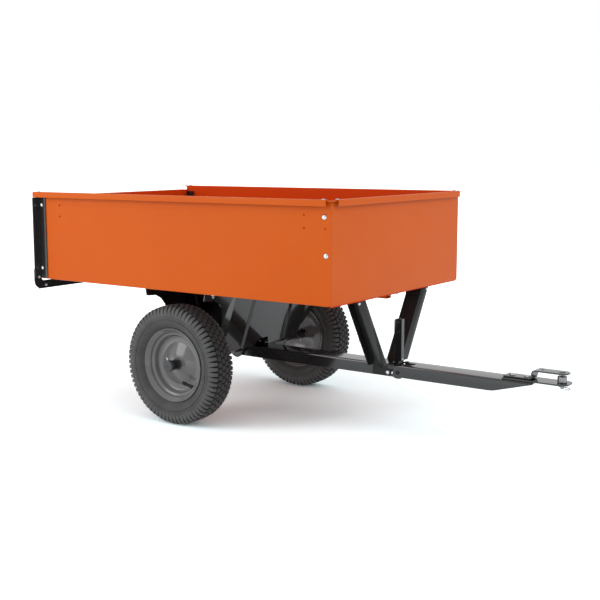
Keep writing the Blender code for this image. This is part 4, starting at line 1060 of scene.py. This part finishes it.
@dataclass(frozen=True)
class Hub(Part):
    """The hub tubes with their bushes, caps over the axle's ends, nipples and valves.

    Places on the wheel give angle in degrees, radius and distance out of the middle.
    """

    steps: int = 48
    tube: Profile = (
        (-0.0480, 0.0125), (-0.0480, 0.0159), (-0.0474, 0.0165), (0.0008, 0.0165),
        (0.0014, 0.0177), (0.0026, 0.0187), (0.0038, 0.0191), (0.0106, 0.0191),
        (0.0118, 0.0187), (0.0130, 0.0177), (0.0136, 0.0165), (0.0300, 0.0165),
        (0.0305, 0.0147), (0.0329, 0.0147), (0.0334, 0.0165), (0.0372, 0.0165),
        (0.0377, 0.0147), (0.0401, 0.0147), (0.0406, 0.0165), (0.0459, 0.0165),
        (0.0465, 0.0159), (0.0465, 0.0125))
    bush: Profile = (
        (-0.0180, 0.0097), (-0.0180, 0.0123), (0.0003, 0.0123), (0.0003, 0.0162),
        (0.0016, 0.0162), (0.0021, 0.0156), (0.0021, 0.0097))
    cap: Profile = (
        (0.0488, 0.0100), (0.0488, 0.0183), (0.0492, 0.0187), (0.0554, 0.0187),
        (0.0564, 0.0183), (0.0570, 0.0175), (0.0572, 0.0163), (0.0572, 0.0042),
        (0.0566, 0.0036), (0.0566, 0.0022), (0.0572, 0.0017), (0.0574, 0.0008))
    nipples: tuple[Point, ...] = ((122.0, 0.0160, 0.0438), (-50.0, 0.0160, -0.0290))
    nipple_foot: Profile = ((0.0, 0.0034), (0.0048, 0.0034))
    nipple_tip: Profile = (
        (0.0048, 0.0024), (0.0070, 0.0020), (0.0088, 0.0016), (0.0098, 0.0020),
        (0.0110, 0.0025), (0.0122, 0.0024), (0.0132, 0.0016), (0.0136, 0.0006))
    valve_foot: Point = (-47.0, 0.0930, 0.0110)
    valve_tip: Point = (-55.0, 0.0640, 0.0310)
    valve: Profile = (
        (0.0, 0.0062), (0.05, 0.0068), (0.10, 0.0062), (0.16, 0.0055), (0.42, 0.0050),
        (0.60, 0.0048), (0.62, 0.0054), (0.64, 0.0057), (0.92, 0.0056), (0.97, 0.0051),
        (1.0, 0.0040))

    def build(self) -> None:
        """Build the left hub and what sits on it, and mirror each to the right."""
        tube = Bench.turned("hub", Coat.BLACK, self.tube, self.steps, WHEEL, Axis.Y, closed=True)
        self.pair(tube, "hub", WHEEL_BODY, "hub_{side}")
        self.pair(self._bushes(), "bushes", WHEEL_BODY, "inner_bush_{side}", "outer_bush_{side}")
        cap = Bench.turned("cap", Coat.PLASTIC, self.cap, self.steps, WHEEL, Axis.Y)
        self.pair(cap, "axle_cap", "bed", "axle_cap_{side}")
        self.pair(self._valve(), "valve_stem", WHEEL_BODY, "valve_stem_{side}")
        self.pair(self._nipples(), "nipple", WHEEL_BODY, slot="zinc_plate")

    def _bushes(self) -> Piece:
        """Turn a flanged bush for each end of the tube."""
        ends = ((1.0, self.tube[-1][0]), (-1.0, self.tube[0][0]))
        return Bench.join([
            Bench.turned("bush", Coat.PLASTIC,
                         [(end + way * along, radius) for along, radius in self.bush],
                         self.steps, WHEEL, Axis.Y, closed=True)
            for way, end in ends])

    @staticmethod
    def _spot(degrees: float, radius: float, out: float) -> Vector:
        """A place on the wheel from its angle, radius and distance out of the middle."""
        angle = math.radians(degrees)
        return WHEEL + Vector((radius * math.cos(angle), out, radius * math.sin(angle)))

    def _valve(self) -> Piece:
        """Model the rubber valve with its ribbed foot and cap, and lean it into place."""
        foot, tip = self._spot(*self.valve_foot), self._spot(*self.valve_tip)
        length = (tip - foot).length
        profile = [(share * length, radius) for share, radius in self.valve]
        valve = Bench.turned("valve", Coat.VALVE, profile, steps=20, smooth=34.0)
        valve.data.transform(facing(foot, (tip - foot).normalized()))
        return valve

    def _nipples(self) -> Piece:
        """Model the grease nipples: a six-sided foot, a neck and a round tip each."""
        master = Bench.join([
            Bench.turned("nipple_foot", Coat.ZINC, self.nipple_foot, steps=6, smooth=20.0),
            Bench.turned("nipple_tip", Coat.ZINC, self.nipple_tip, steps=20, smooth=34.0)])
        moves = []
        for spot in self.nipples:
            angle = math.radians(spot[0])
            moves.append(facing(self._spot(*spot), (math.cos(angle), 0.0, math.sin(angle))))
        return Bench.placed(master, moves, "nipples")


class Hardware:
    """Bolt heads and nuts, each modelled once on the origin along Z and then copied.

    Profiles give heights and shares of a radius, and HEAD's heights are shares too.
    """

    HEAD: Profile = ((-0.05, 0.94), (0.10, 1.0), (0.34, 0.93), (0.58, 0.80), (0.78, 0.60),
                     (0.92, 0.38), (1.0, 0.10))
    WASHER: Profile = ((0.0, 1.12), (0.0010, 1.14), (0.0013, 1.08), (0.0013, 0.7))
    FOOT: Profile = ((0.0013, 0.93), (0.0019, 1.0))
    CROWN: Profile = ((-0.0007, 1.0), (0.0, 0.92))
    THREAD: Profile = ((0.0, 1.0), (0.00035, 0.88))
    PITCH = 0.0007
    END: Pair = (0.0003, 0.8)

    @classmethod
    def dome(cls, radius: float, height: float) -> Piece:
        """Round bolt head with a thin skirt, of a radius and a height."""
        profile = [(high * height, out * radius) for high, out in cls.HEAD]
        return Bench.turned("dome", Coat.ZINC, profile, steps=28, smooth=50.0)

    @classmethod
    def nut(cls, across: float, height: float, thread: float, ridges: int = 3) -> Piece:
        """Six-sided nut on a washer, with the bolt's end standing through it.

        Args:
            across: The nut's size across its flats.
            height: Its height.
            thread: The bolt's radius.
            ridges: Turns of thread that stand out of it.

        Returns:
            The nut.
        """
        corner = across / 2 / math.cos(HEX_ANGLE)
        washer = scaled(cls.WASHER, corner)
        body = scaled(cls.FOOT, corner) + scaled(cls.CROWN, corner, height)
        end = [(height - 0.001, thread)]
        for ridge in range(ridges):
            end += scaled(cls.THREAD, thread, height + cls.PITCH * ridge)
        end += scaled([cls.END], thread, height + cls.PITCH * ridges)
        return Bench.join([
            Bench.turned("washer", Coat.ZINC, washer, steps=28),
            Bench.turned("nut_body", Coat.ZINC, body, steps=6, smooth=20.0),
            Bench.turned("thread", Coat.ZINC, end, steps=20, smooth=50.0)])


@dataclass(frozen=True)
class Bed(Part):
    """The orange tray: floor, folded side and front panels, gussets, rib and bolts."""

    edge: float = 0.0004
    corner_radius: float = 0.0046
    corner: Pair = (1.180, 0.3877)
    corner_least: float = 0.02
    slack: float = 0.0002
    side_head: Pair = (0.0080, 0.0046)
    side_bolts: tuple[Point, ...] = ((1.158, 0.390, 0.686), (1.164, 0.390, 0.577))
    rail_head: Pair = (0.0062, 0.0026)
    rail_bolts: tuple[Point, ...] = (
        (1.160, 0.398, 0.735), (1.1885, 0.370, 0.735), (-0.020, 0.398, 0.735))
    foot_nut: NutSizes = (0.0100, 0.0062, 0.0032, 6)
    foot_seat: Point = (1.157, 0.023, 0.433)

    def build(self) -> None:
        """Round the panels' edges and add the bolts."""
        self.form("bed", Coat.ORANGE, self.edge, ["floor_rib", *both("corner_gusset")])
        self.panel("bed", "floor_panel", self.edge, UP)
        self.panel("bed", "side_panel_left", self.edge, INWARD)
        self.panel("bed", "side_panel_right", self.edge, OUT)
        self.panel("bed", "front_panel", self.edge, BACK, self._round_corners)
        self.fit("side_bolts", "bed", Hardware.dome(*self.side_head),
                 seats(OUT, *self.side_bolts))
        self.fit("rail_bolts", "bed", Hardware.dome(*self.rail_head),
                 seats(UP, *self.rail_bolts))
        self.fit("foot_nuts", "bed", Hardware.nut(*self.foot_nut), seats(DOWN, self.foot_seat))

    def _round_corners(self) -> None:
        """Give the front panel's upright folds their radius, which leaves a seam each side."""
        face, half = self.corner[0] + BED_REAR_X, self.corner[1]

        def upright(edge: bmesh.types.BMEdge) -> bool:
            """Tell whether an edge runs up one of the front panel's outer corners.

            Args:
                edge: The edge.

            Returns:
                True if it does.
            """
            return edge.calc_length() > self.corner_least and all(
                abs(vert.co.x - face) < self.slack and abs(abs(vert.co.y) - half) < self.slack
                for vert in edge.verts)

        Bench.select_edges(upright)
        bpy.ops.mesh.bevel(offset=self.corner_radius, segments=5, affect="EDGES")


@dataclass(frozen=True)
class RearFrame(Part):
    """Black uprights, corner plates, guides and sill round the orange tailgate."""

    plate_edge: float = 0.0007
    gate_edge: float = 0.0004
    head: Pair = (0.0066, 0.0036)
    leg_bolts: tuple[Point, ...] = ((-0.014, 0.3933, 0.690), (-0.020, 0.3933, 0.471))
    plate_bolts: tuple[Point, ...] = ((-0.0366, 0.402, 0.439), (-0.0366, 0.372, 0.409))
    nut: Point = (0.0080, 0.0044, 0.0024)
    nuts: tuple[Point, ...] = ((-0.0303, 0.4005, 0.439), (-0.0303, 0.3705, 0.409))

    def build(self) -> None:
        """Round the plates' edges and add the bolts."""
        self.form("bed", Coat.BLACK, self.plate_edge,
                  ["rear_sill", *both("rear_upright", "rear_corner", "gate_guide")])
        self.panel("tailgate", "tailgate", self.gate_edge, AHEAD)
        self.fit("rear_bolts", "bed", Hardware.dome(*self.head),
                 seats(OUT, *self.leg_bolts) + seats(BACK, *self.plate_bolts))
        self.fit("rear_nuts", "bed", Hardware.nut(*self.nut), seats(AHEAD, *self.nuts))


@dataclass(frozen=True)
class AxleSupport(Part):
    """The pressed walls under the floor, the cheeks between them, and the axle."""

    steps: int = 40
    edge: float = 0.0008
    crease: float = 0.0024
    axle_end: Profile = ((0.3944, 0.0095), (0.3960, 0.0079))
    spacer: Profile = ((0.2073, 0.0097), (0.2073, 0.0136), (0.2078, 0.0141), (0.2922, 0.0141),
                       (0.2927, 0.0136), (0.2927, 0.0097))
    nut: NutSizes = (0.0110, 0.0066, 0.0038, 11)
    nut_turn: float = 12.0
    nuts: tuple[Point, ...] = (
        (0.718, 0.350, 0.4323), (0.721, 0.150, 0.4323), (0.415, 0.150, 0.4323))
    cheek_head: Pair = (0.0045, 0.0018)
    cheek_bolt: Point = (0.5977, 0.0455, 0.2109)

    def build(self) -> None:
        """Round the pressings, turn the axle and spacers, and add the flange nuts."""
        self.form("bed", Coat.BLACK, self.edge, ["axle_support_front", "axle_support_rear"],
                  crease=self.crease)
        self.form("bed", Coat.BLACK, self.edge, both("inner_cheek", "outer_cheek"))
        self.keep(Bench.turned("axle_made", Coat.STEEL, both_ends(self.axle_end), self.steps,
                               AXLE, Axis.Y), "bed", ("axle",))
        spacer = Bench.turned("spacer", Coat.BLACK, self.spacer, self.steps, AXLE, Axis.Y,
                              closed=True)
        self.pair(spacer, "spacer", "bed", "axle_spacer_{side}")
        self.fit("support_nuts", "bed", Hardware.nut(*self.nut),
                 seats(DOWN, *self.nuts, turn=self.nut_turn))
        self.fit("cheek_bolts", "bed", Hardware.dome(*self.cheek_head),
                 seats(INWARD, self.cheek_bolt))


@dataclass(frozen=True)
class Struts(Part):
    """Two splayed channels, their mounts, and the latch bar through their feet."""

    edge: float = 0.0008
    cut_low: Point = (1.08, 0.0449, 0.15)
    cut_high: Point = (1.20, 0.2, 0.2065)
    head: Pair = (0.0058, 0.0036)
    front_bolt: Point = (1.1625, 0.2085, 0.4210)
    rear_bolt: Point = (1.1115, 0.1190, 0.2925)
    bar_centre: Point = (1.167, 0.0, 0.1865)
    bar_end: Profile = (
        (0.0448, 0.0050), (0.0448, 0.006016), (0.0454, 0.0064), (0.0468, 0.0064),
        (0.0483, 0.005632), (0.0493, 0.00384), (0.0498, 0.001024))

    def build(self) -> None:
        """Round the channels' edges, turn the bar and add the bolts."""
        self.form("bed", Coat.SATIN, self.edge, both("strut_mount"))
        for side in Side:
            node = f"strut_{side.word}"
            channel = Bench.refined(node, Coat.SATIN, self.edge)
            self._cut_foot(channel, side)
            self.keep(channel, "bed", (node,))
        bar = Bench.turned("latch_bar_made", Coat.ZINC, both_ends(self.bar_end), steps=32,
                           centre=bed_point(*self.bar_centre), axis=Axis.Y, smooth=40.0)
        self.keep(bar, "bed", ("latch_bar",))
        self.fit("strut_bolts", "bed", Hardware.dome(*self.head),
                 seats(AHEAD, self.front_bolt) + seats(BACK, self.rear_bolt))

    def _cut_foot(self, channel: Piece, side: Side) -> None:
        """Cut a channel's flanges level above its foot.

        Args:
            channel: The channel.
            side: Its side of the trailer.
        """
        (rear, near, low), (front, far, high) = self.cut_low, self.cut_high
        near, far = sorted((side.value * near, side.value * far))
        Bench.trim(channel, bed_point(rear, near, low), bed_point(front, far, high))


@dataclass(frozen=True)
class Tongue(Part):
    """The upside-down channel from the axle to the hitch, with its pivot bushes."""

    edge: float = 0.0006
    bush: Profile = ((0.0361, 0.0097), (0.0361, 0.0135), (0.0403, 0.0135), (0.0403, 0.0163),
                     (0.0407, 0.0165), (0.0450, 0.0165), (0.0452, 0.0163), (0.0452, 0.0097))

    def build(self) -> None:
        """Round the channel's cut edges and turn its bushes."""
        self.form("tongue", Coat.BLACK, self.edge, ["tongue"])
        bush = Bench.turned("bush", Coat.ZINC, self.bush, steps=36, centre=AXLE, axis=Axis.Y,
                            closed=True)
        self.pair(bush, "tongue_bush", "tongue", "tongue_bush_{side}")


@dataclass(frozen=True)
class Latch(Part):
    """The hooked lever, its pivot bolt and the coil spring beside it."""

    edge: float = 0.0007
    pivot: Point = (1.1985, 0.0, 0.1875)
    holes: tuple[Point, ...] = ((1.1815, 0.0080, 0.3410), (1.1815, 0.0080, 0.3090))
    hole_radius: float = 0.0036
    hole_rim: Profile = ((-0.0002, 0.0), (0.0008, 0.0002), (0.0013, 0.0008), (0.0013, 0.0014),
                         (0.0008, 0.0021), (-0.0002, 0.0025))
    screw: Point = (1.1935, 0.0, 0.2225)
    screw_head: Pair = (0.0034, 0.0018)
    bolt_end: Profile = (
        (0.0403, 0.0039), (0.0403, 0.00589), (0.0407, 0.0062), (0.0418, 0.005952),
        (0.0427, 0.004836), (0.0433, 0.00248), (0.0433, 0.00062))
    wire: float = 0.0011
    coil: float = 0.0082
    turns: int = 3
    turn_steps: int = 14
    first_turn: float = 0.0142
    pitch: float = 0.0030
    tail: tuple[float, ...] = (0.012, 0.0072, 0.0036)
    leg: tuple[float, ...] = (0.006, 0.015, 0.030)

    def build(self) -> None:
        """Round the lever, add the rims of its holes, and make its bolt and spring."""
        self.form("latch_lever", Coat.BLACK, self.edge, ["latch_lever"])
        ring = [(along, self.hole_radius + out) for along, out in self.hole_rim]
        self.fit("lever_rims", "latch_lever",
                 Bench.turned("hole_rim", Coat.SATIN, ring, steps=32, smooth=40.0, closed=True),
                 seats(OUT, *self.holes), slot="black_paint")
        self.fit("lever_screw", "latch_lever", Hardware.dome(*self.screw_head),
                 seats(AHEAD, self.screw), [Side.LEFT])
        bolt = Bench.turned("pivot_bolt_made", Coat.SATIN, both_ends(self.bolt_end), steps=28,
                            centre=bed_point(*self.pivot), axis=Axis.Y, smooth=40.0)
        self.keep(bolt, "tongue", ("latch_pivot_bolt",))
        self.keep(self._spring(), "tongue", ("latch_spring",))

    def _spring(self) -> Piece:
        """Draw the coil spring: a tail behind, its turns, and a leg along the tongue."""
        coil = []
        for step in range(self.turns * self.turn_steps + 1):
            turn = step / self.turn_steps
            angle = math.radians(90.0) + math.tau * turn
            coil.append(bed_point(*self.pivot) + Vector((
                self.coil * math.cos(angle), self.first_turn + self.pitch * turn,
                self.coil * math.sin(angle))))
        tail = [coil[0] - self._along(reach, max(self.tail)) for reach in self.tail]
        leg = [coil[-1] + self._along(reach, max(self.leg)) for reach in self.leg]
        return Bench.wire(tail + coil + leg, self.wire, "latch_spring_made", Coat.ZINC)

    def _along(self, reach: float, length: float) -> Vector:
        """A step along a straight end of the spring, which rises by one wire in all."""
        return Vector((reach, 0.0, self.wire * reach / length))


@dataclass(frozen=True)
class Hitch(Part):
    """The clevis: lower plate, bent strap, two bolts, spacer, drop pin and clip."""

    edge: float = 0.0007
    bolts: Pair = (1.558, 1.604)
    shank: Profile = (
        (0.2002, 0.0039), (0.2209, 0.0039), (0.2209, 0.00912), (0.221524, 0.0096),
        (0.22298, 0.008832), (0.224332, 0.007296), (0.225372, 0.004992),
        (0.225944, 0.002304), (0.2261, 0.000576))
    hexagon: Profile = (
        (0.2010, 0.0054405), (0.2017, 0.00585), (0.2070, 0.00585), (0.2077, 0.0054405))
    pin_x: float = 1.708
    pin: Profile = (
        (0.1968, 0.00225), (0.1974, 0.0035), (0.1984, 0.00475), (0.1992, 0.0050),
        (0.2463, 0.0050), (0.2463, 0.00816), (0.2467, 0.0085), (0.2472, 0.0085),
        (0.24783, 0.00748), (0.2481, 0.00595), (0.2481, 0.00085))
    spacer: Profile = (
        (0.2161, 0.0055), (0.2161, 0.0121), (0.2165, 0.0129), (0.2175, 0.0135),
        (0.2332, 0.0135), (0.2342, 0.0129), (0.2346, 0.0121), (0.2346, 0.0055))
    clip_wire: float = 0.0012
    clip_level: float = 0.2028
    clip_leg: tuple[float, ...] = (-0.0090, -0.0045, 0.0, 0.00735, 0.0147)
    clip_bend: Point = (0.0187, 0.0040, 0.0031)
    clip_angles: tuple[float, ...] = (65.0, 30.0, -10.0, -50.0, -90.0)
    clip_back: Profile = ((0.0125, -0.005704), (0.0152, -0.00713), (0.0095, -0.005828))

    def build(self) -> None:
        """Round the irons and make the bolts, spacer, pin and clip."""
        self.form("tongue", Coat.BLACK, self.edge, ["hitch_plate", "hitch_strap"], segments=3)
        for name, x in zip(("rear", "front"), self.bolts):
            node, foot = f"hitch_bolt_{name}", bed_point(x, 0.0, 0.0)
            bolt = Bench.join([
                Bench.turned(f"{node}_made", Coat.ZINC, self.shank, steps=32, centre=foot,
                             smooth=45.0),
                Bench.turned("hexagon", Coat.ZINC, self.hexagon, steps=6, centre=foot,
                             smooth=20.0)])
            self.keep(bolt, "tongue", (node,))
        foot = bed_point(self.pin_x, 0.0, 0.0)
        spacer = Bench.turned("hitch_spacer_made", Coat.DULL, self.spacer, steps=40, centre=foot,
                              closed=True)
        self.keep(spacer, "tongue", ("hitch_spacer",))
        pin = Bench.turned("hitch_pin_made", Coat.DULL, self.pin, steps=36, centre=foot,
                           smooth=35.0)
        self.keep(pin, "hitch_pin", ("hitch_pin",))
        self.keep(self._clip(), "hitch_clip", ("hitch_clip",))

    def _clip(self) -> Piece:
        """Draw the wire clip through the pin's foot and back under it."""
        (middle, long, deep), leg = self.clip_bend, [(along, 0.0) for along in self.clip_leg]
        bend = [(middle + long * math.cos(turn), deep * (math.sin(turn) - 1.0))
                for turn in map(math.radians, self.clip_angles)]
        route = [bed_point(self.pin_x + along, 0.0, self.clip_level + rise)
                 for along, rise in (*leg, *bend, *self.clip_back)]
        return Bench.wire(route, self.clip_wire, "hitch_clip_made", Coat.DULL)


def main() -> None:
    """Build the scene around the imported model."""
    logging.basicConfig(level=logging.INFO, format="%(name)s: %(message)s")
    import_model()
    Bench.clear()
    for part in (Bed(), RearFrame(), AxleSupport(), Tyre(), Rim(), Hub(), Struts(), Tongue(),
                 Latch(), Hitch()):
        part.build()
        LOG.info("%s built", type(part).__name__)
    Studio().build()
    Camera().build()


if __name__ == "__main__":
    main()
